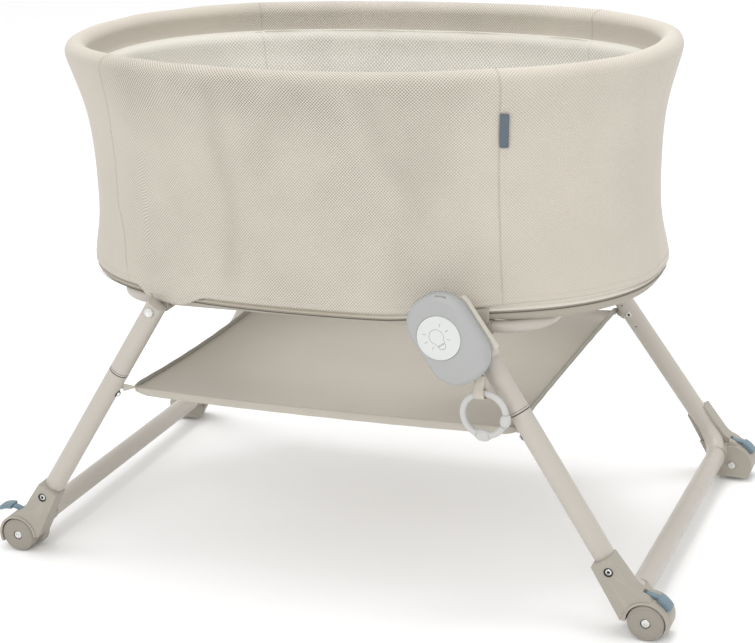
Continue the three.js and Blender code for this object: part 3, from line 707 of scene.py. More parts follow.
def cover_relief(u, v, above_hem):
    """How far the cloth stands out: folds, puckers, the drag across the front, lumps on the roll and seams."""
    on_wall = 1 - smoothstep(v, -0.03, 0.0)
    folds = 0.0011 * soft_noise(u, v * 0.5, 3, 0.17) + 0.0006 * soft_noise(u, v * 0.7, 4, 0.075)
    puckers = 0.0004 * soft_noise(u, v * 0.35, 5, 0.022)
    drag = 0.0010 * bell(np.mod(u + v * 0.9, 0.31) - 0.155, 0.0, 0.03) * FRONT_SIDE
    lump = 0.0009 * soft_noise(u, v, 6, 0.055) * smoothstep(v, -0.01, 0.01)
    relief = folds * (0.35 + 0.65 * on_wall) + puckers * bell(v, -0.045, 0.028)
    relief = relief + (drag * 0.5 - 0.0003) * on_wall + lump
    relief = relief + 0.0003 * bell(SEAM_GAP, 0.006, 0.004) - 0.0005 * bell(SEAM_GAP, 0.0, 0.0011)
    relief = relief + 0.0001 * bell(SEAM_GAP, 0.006, 0.006) * np.sin(v * TAU / 0.013)
    low = v < -0.2
    relief = np.where(low, relief * np.clip(above_hem / 0.012, 0, 1), relief)
    return relief - 0.0007 * bell(above_hem, 0.0065, 0.0014) * low


def point_values(o, shape, **values):
    """Writes one number for each point, which the materials read."""
    for label, value in values.items():
        layer = o.data.attributes.new(label, "FLOAT", "POINT")
        layer.data.foreach_set("value", np.broadcast_to(value, shape).astype(np.float32).ravel())


def cover_openness(v):
    """How clearly the holes of the mesh show."""
    left_end, right_end = 1 - smoothstep(PLAN_X, -0.35, -0.25), smoothstep(PLAN_X, 0.24, 0.41)
    ends = (1 - 0.85 * left_end) * (1 - 0.5 * right_end)
    behind = 1 - 0.45 * (1 - FRONT_SIDE) * (v < 0)
    towards_rim = 1 + 0.45 * bell(v, -0.005, 0.045)
    return ends * behind * towards_rim * (0.62 + 0.38 * smoothstep(0.30 - PLAN_X, 0.0, 0.25))


def cover_shade(u, v):
    """Painted shade: the shadows seen through the mesh of the front wall, the seams, and the darker ends and inside.
    """
    x, down = PLAN_X + 0.012 * soft_noise(u, v, 11, 0.09), v + 0.1
    seen = 0.50 * bell(x + 0.02 * down, -0.118, 0.014)
    seen = seen + 0.34 * bell(x - down * 0.75, -0.062, 0.026) * smoothstep(v, -0.24, -0.05)
    seen = seen + 0.50 * bell(x + (v + 0.05) * 0.45, 0.118, 0.022) * smoothstep(v, -0.26, -0.08)
    seen = seen + 0.34 * bell(x - 0.25 * down, 0.178, 0.030) + 0.26 * bell(x + 0.5 * (v + 0.2), 0.235, 0.030)
    on_mesh = smoothstep(v, -0.31, -0.26) * (1 - smoothstep(v, -0.012, 0.006))
    ends = 0.95 * (1 - smoothstep(PLAN_X, -0.35, -0.25)) + 0.40 * smoothstep(PLAN_X, 0.24, 0.41)
    inside = (0.10 * smoothstep(v, ROLL_R * 1.9, ROLL_R * 2.8)
              + 0.15 * np.abs(PLAN_X) / RIM_A * smoothstep(v, 0.02, 0.04))
    shade = seen * FRONT_SIDE * on_mesh + 0.10 * soft_noise(u, v, 12, 0.11)
    return np.clip(shade + 0.85 * bell(SEAM_GAP, 0.0, 0.0010) + ends + inside, 0, 1)


def close_flat_round(o):
    """Keeps the faces where the round closes from running back across the flat cloth."""
    layer = o.data.uv_layers["flat"].data
    for face in o.data.polygons:
        places = [layer[i].uv for i in face.loop_indices]
        if max(p[0] for p in places) - min(p[0] for p in places) > RIM_LENGTH / 2:
            for place in places:
                if place[0] < RIM_LENGTH / 2:
                    place[0] += RIM_LENGTH


def outer_cover():
    rows, v = cover_rows()
    points = drifted(rows, v)
    relief = cover_relief(np.broadcast_to(ALONG, v.shape), v, points[..., 2] - HEM)
    points = sagged(push(points, relief), v)
    hem_fold = np.array([wall(HEM + 0.004, 0.0021), wall(HEM + 0.0002, 0.0010)])
    hem_fold[1, :, 2] = HEM - 0.0007
    points = np.concatenate([hem_fold, points])
    v = np.concatenate([[v[0] + 0.002, v[0] - 0.001], v])
    u = np.broadcast_to(ALONG, v.shape)
    made = grid("cover", points, MAT["cover"], None, uv=np.stack([u, v], -1))
    close_flat_round(made)
    point_values(made, v.shape, openness=cover_openness(v), shade=cover_shade(u, v))
    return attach(made, "basket"), points


cover, cover_points = outer_cover()
stands_for(cover, "outer_cover")


def band(name, profile, material):
    """A tape round the basket; profile is a list of (inset, height) from top to bottom."""
    points = np.array([wall(z, inset, np.maximum(z, 0.394)) for inset, z in profile])
    step = np.linalg.norm(np.diff(points, axis=0), axis=2)
    v = np.concatenate([np.zeros((1, U_STEPS)), np.cumsum(step, 0)])
    uv = np.stack([np.broadcast_to(ALONG, v.shape), v], -1)
    return grid(name, points, MAT[material], "basket", uv=uv, flip=True)


def hem_welt():
    """The taped lower edge, with a groove along its middle."""
    top = np.maximum(HEM, 0.4000) + 0.003
    profile = []
    for t in np.linspace(0, 1, 25):
        groove = 0.0007 if abs(t - 0.5) < 0.05 else 0
        profile.append((0.0022 + 0.0011 * math.cos(2 * TAU * t) + groove, top + (WELT_BOTTOM - top) * t))
    return band("hem_welt", profile, "welt")


def base_skirt():
    """The soft edge under the welt, and the cloth under the tray."""
    low, run = 0.3885 + 0.0052 * BESIDE_LEG, 0.014 - 0.0065 * BESIDE_LEG
    profile = [(0.0024, WELT_BOTTOM + 0.0012)]
    for a in np.linspace(0, math.pi / 2, 9):
        profile.append((0.0026 + run * (1 - math.cos(a)), WELT_BOTTOM - (WELT_BOTTOM - low) * math.sin(a)))
    edge = 0.0026 + run
    for t in (0.25, 0.5, 0.75, 1.0):
        profile.append((edge + (0.044 - edge) * t * (1 - 0.75 * BESIDE_LEG),
                        low + (0.3937 - low) * smoothstep(t, 0, 1)))
    return band("base_skirt", profile, "skirt")


# a painted shadow: a dark band along the line between the welt and the soft edge under it
ON_COVER = [band("hem_shadow", [(0.0008, WELT_BOTTOM + 0.0003), (0.0006, WELT_BOTTOM - 0.0004),
                                (0.0010, WELT_BOTTOM - 0.0013)], "gap")]
for tape, drop in ((hem_welt(), 0.0172), (base_skirt(), 0.046)):
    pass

LINER_TOP = 0.6825


def inner_liner():
    levels = np.linspace(LINER_TOP, 0.4345, 44)
    rows = [wall(z, 0.0195 + 0.0072 * smoothstep(z, 0.640, LINER_TOP)) for z in levels]
    v = np.repeat(levels[:, None], U_STEPS, 1)
    u = np.broadcast_to(ALONG, v.shape)
    folds = 0.0024 * soft_noise(u, v * 0.6, 21, 0.13) + 0.0011 * soft_noise(u, v * 0.6, 22, 0.05)
    relief = folds * smoothstep(LINER_TOP - v, 0.0, 0.03)
    relief = relief - 0.0010 * bell(SEAM_GAP, 0, 0.002) + 0.0012 * bell(v, 0.6765, 0.0022)
    made = grid("liner", push(np.array(rows), -relief), MAT["liner"], None, uv=np.stack([u, v], -1))
    ends = np.abs(PLAN_X)
    shade = (0.20 * bell(PLAN_X, 0.02, 0.05) + 0.18 * bell(PLAN_X, 0.17, 0.04) + 0.75 * smoothstep(ends, 0.26, 0.40)
             + 0.14 * soft_noise(u, v, 23, 0.1) + 0.7 * bell(SEAM_GAP, 0.0, 0.0012))
    below_tape = 1 - smoothstep(v, 0.6700, 0.6725)
    point_values(made, v.shape, openness=(0.9 - 0.25 * smoothstep(ends, 0.25, 0.38)) * below_tape,
                 shade=np.clip(shade * below_tape, 0, 1))
    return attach(made, "basket")


liner = stands_for(inner_liner(), "inner_liner")


def rail_tab():
    """A short tape folded over the lower edge beside the night light, in front of the bracket."""
    across = np.where((OVAL_Y < 0) & (LOW_X > 0.222) & (LOW_X < 0.249))[0]
    fold = ((0.0004, 0.4105), (-0.0008, 0.4095), (-0.0012, 0.4060), (-0.0010, 0.4000), (-0.0006, 0.3950),
            (0.0010, 0.3905), (0.0042, 0.3885), (0.0078, 0.3890), (0.0100, 0.3905))
    points = np.array([wall(z, inset)[across] for inset, z in fold])
    uv = np.broadcast_arrays(ALONG[across], np.linspace(0, 0.034, len(fold))[:, None])
    tab = grid("rail_tab", points, MAT["skirt"], None, close_u=False, uv=np.stack(uv, -1), flip=True)
    thickened(tab, 0.0012, 1, "skirt")
    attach(fix_normals(tab), "basket")


rail_tab()


# ---------- stitches ----------
def along_path(path, s, at):
    """The place on a path at a distance along it, or at several distances."""
    return np.stack([np.interp(at, s, path[:, i]) for i in range(3)], -1)


def stitch_run(name, path, normals, length=0.0030, gap=0.0018, radius=0.00035, body="basket"):
    """A row of short stitches along a path that lies on cloth."""
    path, normals = np.asarray(path, float), np.asarray(normals, float)
    s = lengths_along(path)
    parts = []
    turn = np.arange(5) * TAU / 5
    for start in np.arange(gap, s[-1] - length, length + gap):
        at = along_path(path, s, start + length * np.array([0, 0.5, 1]))
        n = unit(along_path(normals, s, start + length / 2))
        side = np.cross(n, unit(at[2] - at[0]))
        verts = []
        for p, lift, r in zip(at, (-0.0001, 0.00025, -0.0001), (0.35, 1, 0.35)):
            verts += [p + n * lift + radius * r * (math.cos(a) * side + math.sin(a) * n) for a in turn]
        parts.append((verts, grid_faces(3, 5)))
    return joined(name, parts, MAT["stitch"], body)


def column_normals(column):
    du = cover_points[:, (column + 7) % U_STEPS] - cover_points[:, (column - 7) % U_STEPS]
    return unit(np.cross(du, np.gradient(cover_points[:, column], axis=0)))


for label, column in SEAM_COLUMN.items():
    for end, side in (("a", -1), ("b", 1)):
        beside = (column + 2 * side) % U_STEPS
        ON_COVER.append(stitch_run(f"{label}_seam_stitches_{end}", cover_points[6:-3, beside],
                                   column_normals(beside)[6:-3], radius=0.00024))


def hem_stitches(row=4):
    du = np.roll(cover_points[row], -1, 0) - np.roll(cover_points[row], 1, 0)
    normals = unit(np.cross(du, cover_points[row + 1] - cover_points[row - 1]))
    return stitch_run("hem_stitches", cover_points[row], normals)


ON_COVER.append(hem_stitches())

# ---------- blank tag in the front seam ----------
TAG_FOOT, TAG_HEAD, TAG_W = 0.622, 0.667, 0.0115
TAG_ROWS, TAG_COLUMNS = 15, 9


def side_tag():
    """A tape folded in two, which stands out of the right front seam."""
    column = SEAM_COLUMN["front_right"]
    heights = cover_points[:, column, 2]
    outside = slice(6, np.argmax(heights))
    levels = np.linspace(TAG_FOOT, TAG_HEAD, TAG_ROWS)
    path = along_path(cover_points[outside, column], heights[outside], levels)
    normals = unit(along_path(column_normals(column)[outside], heights[outside], levels))
    across = np.cross(unit(np.gradient(path, axis=0)), normals)
    across *= np.sign(across[:, 0]).mean()
    leaves = []
    for lift in (0.0030, 0.0019):
        for t in np.linspace(0, 1, TAG_COLUMNS):
            rise = lift + 0.0012 * math.sin(math.pi * t) + 0.0008 * t if t > 0 else lift * 0.7
            leaves.append(path + across * (0.0004 + TAG_W * t) + normals * rise)
    verts = np.array(leaves).reshape(2, TAG_COLUMNS, TAG_ROWS, 3).transpose(0, 2, 1, 3).reshape(-1, 3)
    n, count, total = TAG_ROWS, TAG_COLUMNS, TAG_ROWS * TAG_COLUMNS
    top = grid_faces(n, count, close_u=False)
    edge = [i * count for i in range(n)] + [(n - 1) * count + k for k in range(1, count)]
    edge += [i * count + count - 1 for i in range(n - 2, -1, -1)] + list(range(count - 2, 0, -1))
    faces = top + [tuple(i + total for i in f[::-1]) for f in top]
    faces += [(a, b, b + total, a + total) for a, b in zip(edge, edge[1:] + edge[:1])]
    return fix_normals(make("side_tag", verts, faces, MAT["tag"], "basket"))


tag = side_tag()
ON_COVER.append(tag)

# ---------- mattress ----------
PAD_SIDES, PAD_LOW, PAD_HIGH = 220, 0.4078, 0.4322
PAD_A, PAD_B = (size - wall_inset(0.56, side) - 0.023 - 0.004 for side, size in enumerate((RIM_A, RIM_B)))


def puffed(pad, start):
    """Where a short cloth simulation takes the points of the pad, moved by 9 mm at most."""
    scene = bpy.context.scene
    start_frame = scene.frame_current
    cloth = pad.modifiers.new("puff", "CLOTH").settings
    cloth.quality, cloth.mass = 5, 0.3
    cloth.use_pressure, cloth.uniform_pressure_force = True, 3.0
    cloth.effector_weights.gravity = 0
    cloth.tension_stiffness, cloth.bending_stiffness = 25, 3
    for f in range(1, 13):
        scene.frame_set(f)
    view = bpy.context.evaluated_depsgraph_get()
    move = np.array([v.co for v in pad.evaluated_get(view).to_mesh().vertices]) - start
    pad.modifiers.clear()
    scene.frame_set(start_frame)
    size = np.linalg.norm(move, axis=1)[:, None]
    return start + move * np.minimum(1, 0.009 / np.maximum(size, 1e-9))


def mattress():
    """A foam pad in a knitted cover, puffed by a short cloth simulation."""
    at, _ = even_turns(PAD_A, PAD_B, PAD_SIDES, 4001)
    x, y = powered(np.cos(at)), powered(np.sin(at))
    edge = ((0.010, PAD_LOW), (0.003, PAD_LOW + 0.002), (0, PAD_LOW + 0.006), (0, PAD_HIGH - 0.006),
            (0.003, PAD_HIGH - 0.002), (0.010, PAD_HIGH))
    rows = [np.stack([(PAD_A - inset) * x, (PAD_B - inset) * y, np.full(PAD_SIDES, z)], -1) for inset, z in edge]
    faces = grid_faces(len(rows), PAD_SIDES) + end_caps(len(rows), PAD_SIDES)
    pad = fix_normals(make("mattress", np.concatenate(rows), faces, MAT["mattress"], None))
    m = pad.modifiers.new("even", "REMESH")
    m.mode, m.voxel_size = "VOXEL", 0.0065
    dress(baked(pad), "mattress")
    points = np.array([v.co for v in pad.data.vertices])
    points = puffed(pad, points)
    points[:, 2] = np.clip(points[:, 2], 0.4058, 0.4395)
    away = np.abs(points[:, :2] / (np.array([PAD_A, PAD_B]) + 0.0055)) ** OVAL_POWER
    away = away[:, 0] + away[:, 1]
    points[:, :2] *= np.where(away > 1, away ** (-1 / OVAL_POWER), 1)[:, None]
    # a shallow quilting on the top
    wave = np.cos(points[:, 0] * TAU / 0.055) * np.cos(points[:, 1] * TAU / 0.055)
    points[:, 2] += smoothstep(points[:, 2], 0.425, 0.430) * (0.0008 * wave - 0.0006)
    pad.data.vertices.foreach_set("co", points.ravel())
    pad.data.update()
    write_uv(pad.data, np.stack([points[:, 0], points[:, 1] + points[:, 2]], -1))
    set_smooth(pad.data)
    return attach(pad, "mattress")


pad = stands_for(mattress(), "mattress_pad")
piping_path = np.stack([(PAD_A + 0.0030) * OVAL_X[::2], (PAD_B + 0.0030) * OVAL_Y[::2],
                        np.full(len(TURNS[::2]), 0.4345)], -1)
piping = make("mattress_piping", *sweep(piping_path, 0.0016, 8, closed=True), MAT["piping"], "mattress")


# ---------- tubes ----------
def on_leg(z):
    return PIVOT + LEG_DOWN * (z - PIVOT[2]) / LEG_DOWN[2]


def ring_tube():
    plan = rounded_plate(2 * RING_A, 2 * RING_B, RING_CORNER, 13)
    path = np.column_stack([plan, np.full(len(plan), RING_Z)])
    made = make("ring", *sweep(path, RING_R, 28, closed=True), MAT["tube"], "basket")
    stands_for(made, "ring_tube")


ring_tube()


def u_frame_path():
    """The middle of a lower frame's tube: down one leg, round both bends and up the other leg."""
    across = np.array([0.0, -1.0, 0.0])
    turn = math.acos(float(np.dot(LEG_DOWN, across)))
    side = unit(across - LEG_DOWN * np.dot(LEG_DOWN, across))
    start = LEG_END - LEG_DOWN * BEND_R * math.tan(turn / 2)
    top = on_leg(SEAM_Z - 0.0003)
    half = [top + (start - top) * t for t in np.linspace(0, 1, 12)[:-1]]
    for a in np.linspace(0, turn, 18):
        half.append(start + LEG_DOWN * BEND_R * math.sin(a) + side * BEND_R * (1 - math.cos(a)))
    half = np.array(half)
    return np.concatenate([half, (half * [1, -1, 1])[::-1]])


# distance from the end of a tube, and how much thinner it is there
LIP_SETBACK, LIP_THINNER = np.array([(0.0, 0.0012), (0.0002, 0.0006), (0.0007, 0.0001), (0.0016, 0.0)]).T


def tube_with_lip(path, body, name, node):
    """A tube with rounded, slightly rolled ends."""
    first = path[0] + unit(path[1] - path[0]) * LIP_SETBACK[:, None]
    last = path[-1] - unit(path[-1] - path[-2]) * LIP_SETBACK[::-1, None]
    full = np.concatenate([first, path[1:-1], last])
    r = np.full(len(full), TUBE_R)
    r[:4] -= LIP_THINNER
    r[-4:] = r[:4][::-1]
    made = smooth_by_angle(make(name, *sweep(full, r, 40), MAT["tube"], body), 50)
    stands_for(made, node)


for side, sx in (("left", -1), ("right", 1)):
    tube_with_lip(u_frame_path() * [sx, 1, 1], f"{side}_frame", f"{side}_u_tube", f"{side}_lower_frame")


def upper_leg(name, body, sx, sy):
    bottom, top = on_leg(SEAM_Z), on_leg(LEG_TOP_Z)
    path = [bottom + (top - bottom) * t for t in np.linspace(0, 1, 8)]
    tube_with_lip(mirrored(path, sx, sy), body, f"{name}_leg_top", f"{name}_upper_leg")
    low, high = TUBE_R - 0.0016, TUBE_R + 0.0001
    for label, up, width in (("seam", 0.0001, 0.0008), ("lip", 0.0034, 0.0005)):
        line = lathe([(low, -width), (high, -width * 0.5), (high, width * 0.5), (low, width)],
                     mirrored(bottom - LEG_DOWN * up, sx, sy), mirrored(LEG_DOWN, sx, sy), 40)
        make(f"{name}_{label}_shadow", *line, MAT["dark"], body)


# ---------- fasteners ----------
def hex_screw(name, origin, axis, radius, dome, body, node, socket=0.42):
    """A domed head with a hexagonal socket; axis points out of the head."""
    sides, deep = 48, 0.0016
    axis, turn, out = around(axis, sides)
    hexagon = socket * radius / np.cos((turn + TAU / 12) % (TAU / 6) - TAU / 12)
    rows = [(radius, -dome * 1.6), (radius, -dome * 0.25)]
    rows += [(radius * (1 - 0.35 * f**1.6), dome * (f**0.6 - 0.25)) for f in (0.25, 0.5, 0.75)]
    rows += [(hexagon * 1.12, dome * 0.92), (hexagon, dome * 0.78), (hexagon, dome * 0.78 - deep),
             (radius * 0.02, dome * 0.78 - deep * 1.15)]
    verts = [np.asarray(origin) + axis * d + np.broadcast_to(r, sides)[:, None] * out for r, d in rows]
    made = make(name, np.concatenate(verts), grid_faces(len(rows), sides), MAT["steel"], body)
    stands_for(smooth_by_angle(made, 40), node)


SOCKET_R = 0.0156
SOCKET_TOP, SCREW_PLACE = on_leg(0.103), on_leg(0.090) + [0.002, 0, 0]
BUTTON_PLACE = on_leg(SEAM_Z) + LEG_DOWN * 0.030
EYELET_PLACE = on_leg(0.2570) - [0, TUBE_R, 0]
PIN = rounded_profile([(0, 0.0182), (0.0040, 0.0178), (0.0040, 0.0088), (0.0052, 0.0088), (0.0052, 0.007),
                       (0, 0.007)], 0.0016, 5)


def fasteners(name, body, sx, sy):
    outwards, inwards, pin_axis = [0, sy, 0], [0, -sy, 0], mirrored(INWARD, sx, sy)
    hex_screw(f"{name}_bolt_head", [PIVOT[0] * sx, (PIVOT[1] + TUBE_R + 0.0016) * sy, PIVOT[2]], outwards,
              0.0068, 0.0018, "basket", None)
    hex_screw(f"{name}_housing_screw", [SCREW_PLACE[0] * sx, 0.2836 * sy, SCREW_PLACE[2]], outwards,
              0.0048, 0.0013, body, f"{name}_foot_screw", 0.45)
    cup_place = [SCREW_PLACE[0] * sx, 0.2846 * sy, SCREW_PLACE[2]]
    # painted shade: a black lining in the housing's hole round the screw head, and a black disc deep in its hex socket
    turned(f"{name}_screw_hole_shadow", [(0.0064, -0.0006), (0.0062, 0.0006), (0.0053, 0.0004), (0.0051, -0.0025)],
           cup_place, outwards, 40, "dark", body)
    turned(f"{name}_screw_socket_shadow", [(0.0020, -0.0013), (0.0020, -0.0011), (0.0001, -0.0011)],
           cup_place, outwards, 24, "dark", body)
    button_place = mirrored(BUTTON_PLACE, sx, sy)
    turned(f"{name}_snap_pin", PIN, button_place, pin_axis, 32, "steel", f"{name}_snap",
           f"{name}_spring_button")
    # painted shade: a black ring in the leg's hole round the spring pin
    turned(f"{name}_snap_hole_shadow", [(0.0042, 0.0135), (0.0042, 0.0148), (0.0054, 0.0147), (0.0056, 0.0135)],
           button_place, pin_axis, 32, "dark", body)
    eyelet_place = mirrored(EYELET_PLACE, sx, sy)
    turned(f"{name}_strap_eyelet", [(0.0018, -0.0008), (0.0019, 0.0009), (0.0030, 0.0013), (0.0040, 0.0006),
                                    (0.0042, -0.0008)], eyelet_place, inwards, 32, "steel", body)
    # painted shade: black discs in the small holes of the leg and in the middle of the strap eyelet
    dots = [lathe([(0.0001, 0.0002), (0.0012, 0.0002), (0.0013, -0.0006)],
                  mirrored(on_leg(z) - [0.001, TUBE_R - 0.0001, 0], sx, sy), inwards, 16) for z in (0.2715, 0.2385)]
    dots.append(lathe([(0.0001, 0.0004), (0.0018, 0.0004), (0.0019, -0.0006)], eyelet_place, inwards, 16))
    joined(f"{name}_leg_hole_shadows", dots, MAT["dark"], body)


# ---------- rollers ----------
ROLLER_OUT, ROLLER_W = 0.2862, 0.0234


def roller_profile():
    """The inner side and the tread, the finely turned face, and the recess for the bolt."""
    outer, inner = ROLLER_OUT, ROLLER_OUT - ROLLER_W
    profile = rounded_profile([(0.0045, inner), (0.0232, inner), (0.025, inner + 0.002), (0.025, outer - 0.0022),
                               (0.0232, outer - 0.0002)], 0.0018, 4)
    for r in np.linspace(0.0228, 0.0078, 46):
        groove = 0.00016 * (0.5 - 0.5 * math.cos(TAU * r / 0.0011))
        step = 0.00045 if 0.0206 < r < 0.0212 else 0.0
        profile.append((r, outer - groove - step))
    return profile + [(0.0070, outer - 0.0001), (0.0068, outer - 0.0006), (0.0068, outer - 0.0028),
                      (0.0045, outer - 0.0028)]


AXLE = rounded_profile([(0.0001, 0.2432), (0.0055, 0.2432), (0.0055, 0.2457), (0.004, 0.2457), (0.004, 0.2836)],
                       0.0008, 3)


def roller(name, body, sx, sy):
    place = [HUB[0] * sx, 0, HUB[2]]
    tread = turned(f"{name}_tread", roller_profile(), place, [0, 1, 0], 96, "wheel", f"{name}_roller",
                   f"{name}_wheel", sy)
    smooth_by_angle(tread, 40)
    hex_screw(f"{name}_hub_bolt", [place[0], 0.2848 * sy, place[2]], [0, sy, 0], 0.0060, 0.0014, body,
              f"{name}_axle_bolt", 0.36)
    turned(f"{name}_axle", AXLE, place, [0, 1, 0], 32, "steel", body, sy=sy)


def frame_of(corner):
    return f"{corner.split('_')[0]}_frame"


for corner, signs in CORNERS.items():
    upper_leg(corner, frame_of(corner), *signs)
    fasteners(corner, frame_of(corner), *signs)
    roller(corner, frame_of(corner), *signs)

# ---------- shelf ----------
SHELF_LEFT, SHELF_RIGHT, SHELF_B = 0.273, 0.289, 0.243


def shelf_edges(u, v):
    """Plan position of the flat shelf at u, v from -1 to 1; its four sides are hollow curves."""
    reach = np.where(u < 0, SHELF_LEFT - 0.012 * (1 - v**2), SHELF_RIGHT - 0.003 * (1 - v**2))
    return u * reach, v * (SHELF_B - 0.0055 * (1 - u**2))


def shelf_height(u, v):
    """The cloth hangs from its corners, with its lowest part in the middle."""
    corner = np.abs(u) ** 2.2 * np.abs(v) ** 3
    return 0.2525 + 0.005 * np.abs(u) ** 2.4 + 0.002 * corner - 0.0035 * (1 - u**2) * (1 - v**2)


def storage_shelf():
    u, v = np.meshgrid(np.linspace(-1, 1, 121), np.linspace(-1, 1, 91))
    x, y = shelf_edges(u, v)
    inside, fan = 1 - v**4, np.abs(u) ** 5 * np.abs(v) ** 5
    z = (shelf_height(u, v) + 0.0012 * soft_noise(x + 1, y, 31, 0.16) * inside
         + 0.0006 * soft_noise(x + 1, y, 32, 0.06) * inside
         + 0.0016 * fan * np.sin((np.abs(x) * 1.3 - np.abs(y)) * TAU / 0.016))
    made = grid("shelf_cloth", np.stack([x, y, z], -1), MAT["shelf"], None, close_u=False, uv=np.stack([x, y], -1))
    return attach(thickened(made, 0.0012, -1, "shelf"), "basket")


shelf = stands_for(storage_shelf(), "storage_shelf")
OUTWARD = {"front": (0, -1, 0), "rear": (0, 1, 0), "left": (-1, 0, 0), "right": (1, 0, 0)}
BINDING_SIDES = 24


def edge_path(side, count=70):
    """The line of one edge of the shelf: front, rear, left or right."""
    t, one = np.linspace(-1, 1, count), np.ones(count)
    u, v = {"front": (t, -one), "rear": (t, one), "left": (-one, t), "right": (one, t)}[side]
    return np.stack([*shelf_edges(u, v), shelf_height(u, v)], -1)


def bent(value, power):
    return abs(value) ** power * math.copysign(1, value)


def folded_binding(name, side, low, high, out, material):
    """A strip folded over an edge: it stands from low to high about the cloth and bulges outwards."""
    path = edge_path(side)
    along = unit(np.gradient(path, axis=0))
    normal = np.stack([along[:, 1], -along[:, 0], np.zeros(len(path))], -1)
    normal *= np.sign(normal @ np.array(OUTWARD[side]))[:, None]
    taper = 0.55 + 0.45 * smoothstep(1 - np.abs(np.linspace(-1, 1, len(path))), 0.0, 0.05)
    rows = []
    for a in np.linspace(0, TAU, BINDING_SIDES + 1)[:-1]:
        o = out * 0.5 * bent(math.cos(a), 0.8)
        z = (low + high) / 2 + (high - low) / 2 * bent(math.sin(a), 0.7)
        sway = 0.0003 * np.sin(np.arange(len(path)) * 0.9 + z * 300)
        rows.append(path + normal * (o * taper + sway)[:, None] + UPWARDS * (z * taper)[:, None])
    uv = np.broadcast_arrays(lengths_along(path)[:, None], np.arange(BINDING_SIDES) * (high - low) * 2 / BINDING_SIDES)
    made = grid(name, np.array(rows).transpose(1, 0, 2), MAT[material], None, uv=np.stack(uv, -1))
    last = len(path) * BINDING_SIDES
    with edited(made) as mesh:
        mesh.verts.ensure_lookup_table()
        for row in (range(BINDING_SIDES), range(last - BINDING_SIDES, last)):
            mesh.faces.new([mesh.verts[i] for i in row])
        bmesh.ops.recalc_face_normals(mesh, faces=mesh.faces)
    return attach(made, "basket"), path + normal * (out * 0.52) + np.array([0, 0, (low + high) / 2]), normal


SHELF_TRIM = [shelf]
for side, low, high, out, material in (("front", -0.0105, 0.0006, 0.0034, "hem"),
                                       ("rear", -0.0105, 0.0006, 0.0034, "hem"),
                                       ("left", -0.0012, 0.0062, 0.0028, "end_hem"),
                                       ("right", -0.0012, 0.0085, 0.0030, "end_hem")):
    strip, line, normal = folded_binding(f"shelf_{side}_hem", side, low, high, out, material)
    line = line + np.array([0, 0, (high - low) * 0.22])
    run = stitch_run(f"shelf_{side}_stitches", line[3:-3], normal[3:-3], 0.0032, 0.0020, 0.00032)
    for piece in (strip, run):
        SHELF_TRIM.append(piece)

for piece in SHELF_TRIM:
    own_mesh(piece)


def corner_strap(name, sx, sy):
    """The tapered end of the shelf's corner, sewn to a short tape that wraps the inside of the leg."""
    corner = np.array([(SHELF_LEFT if sx < 0 else SHELF_RIGHT) - 0.003, SHELF_B - 0.002, 0.2590])
    length, width, meets_leg, round_leg = 0.032, 0.011, 0.6, TUBE_R + 0.0012
    rows = []
    for t in np.linspace(0, 1, 14):
        turn = math.radians(-8 - 62 * max(0.0, (t - meets_leg) / 0.4))
        centre = on_leg(0.2610 - 0.003 * t) + np.array([-round_leg / 0.84 * math.cos(turn),
                                                        round_leg * math.sin(turn), 0])
        if t < meets_leg:
            centre = corner + (centre - corner) * (t / meets_leg)
        half = 0.0016 + 0.0040 * smoothstep(t, 0.05, 0.65)
        rows.append([centre + np.array([0.25, 0.1, 1.0]) * half * f for f in np.linspace(-1, 1, 7)])
    uv = np.broadcast_arrays(np.linspace(0, length, 14)[:, None], np.linspace(0, width, 7))
    made = grid(f"{name}_shelf_strap", np.array(rows) * [sx, sy, 1], MAT["hem"], None, close_u=False,
                uv=np.stack(uv, -1))
    fix_normals(thickened(made, 0.0011, 0, "hem"))
    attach(made, frame_of(name))


for corner, signs in CORNERS.items():
    corner_strap(corner, *signs)


# ---------- moulded solids ----------
def solid(verts, faces):
    return fix_normals(linked("tool", mesh_from("tool", verts, faces)))


def rod(axis, origin, radius, start, end, sides=64):
    verts, faces = lathe([(radius, start), (radius, end)], origin, axis, sides)
    return solid(verts, faces + end_caps(2, sides))


def rod_y(radius, x, z, y0, y1, sides=64):
    return rod([0, 1, 0], [x, 0, z], radius, y0, y1, sides)


def slab_y(outline, y0, y1):
    n = len(outline)
    verts = [(x, y, z) for y in (y0, y1) for x, z in outline]
    faces = [tuple(range(n)), tuple(range(n, 2 * n))[::-1]]
    faces += [(i, (i + 1) % n, n + (i + 1) % n, n + i) for i in range(n)]
    return solid(verts, faces)


def block(x0, x1, y0, y1, z0, z1):
    return slab_y([(x0, z0), (x1, z0), (x1, z1), (x0, z1)], y0, y1)


def combine(base, added=(), cut=()):
    """Joins and cuts solids, and removes the tools."""
    for tools, operation in ((added, "UNION"), (cut, "DIFFERENCE")):
        for tool in tools:
            m = base.modifiers.new("boolean", "BOOLEAN")
            m.operation, m.object, m.solver = operation, tool, "EXACT"
            baked(base)
            bpy.data.objects.remove(tool)
    return base


def clean(o, distance=6e-5, degrees=2):
    """Merges close points and flattens faces that lie almost in one plane."""
    with edited(o) as mesh:
        bmesh.ops.remove_doubles(mesh, verts=mesh.verts, dist=distance)
        bmesh.ops.dissolve_limit(mesh, angle_limit=math.radians(degrees), verts=mesh.verts, edges=mesh.edges)
        bmesh.ops.recalc_face_normals(mesh, faces=mesh.faces)
    return o


def mirrored_copy(model, name, sx, sy, material, body, node, slot):
    mesh = model.data.copy()
    mesh.transform(Matrix.Diagonal((sx, sy, 1, 1)))
    if sx * sy < 0:
        mesh.flip_normals()
    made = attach(dress(linked(name, mesh), material), body)
    return stands_for(made, node)


def polar(radius, degrees):
    a = math.radians(degrees)
    return HUB[0] + radius * math.cos(a), HUB[2] + radius * math.sin(a)


# ---------- feet ----------
ARCH_IN, ARCH_OUT = 0.2623, 0.300


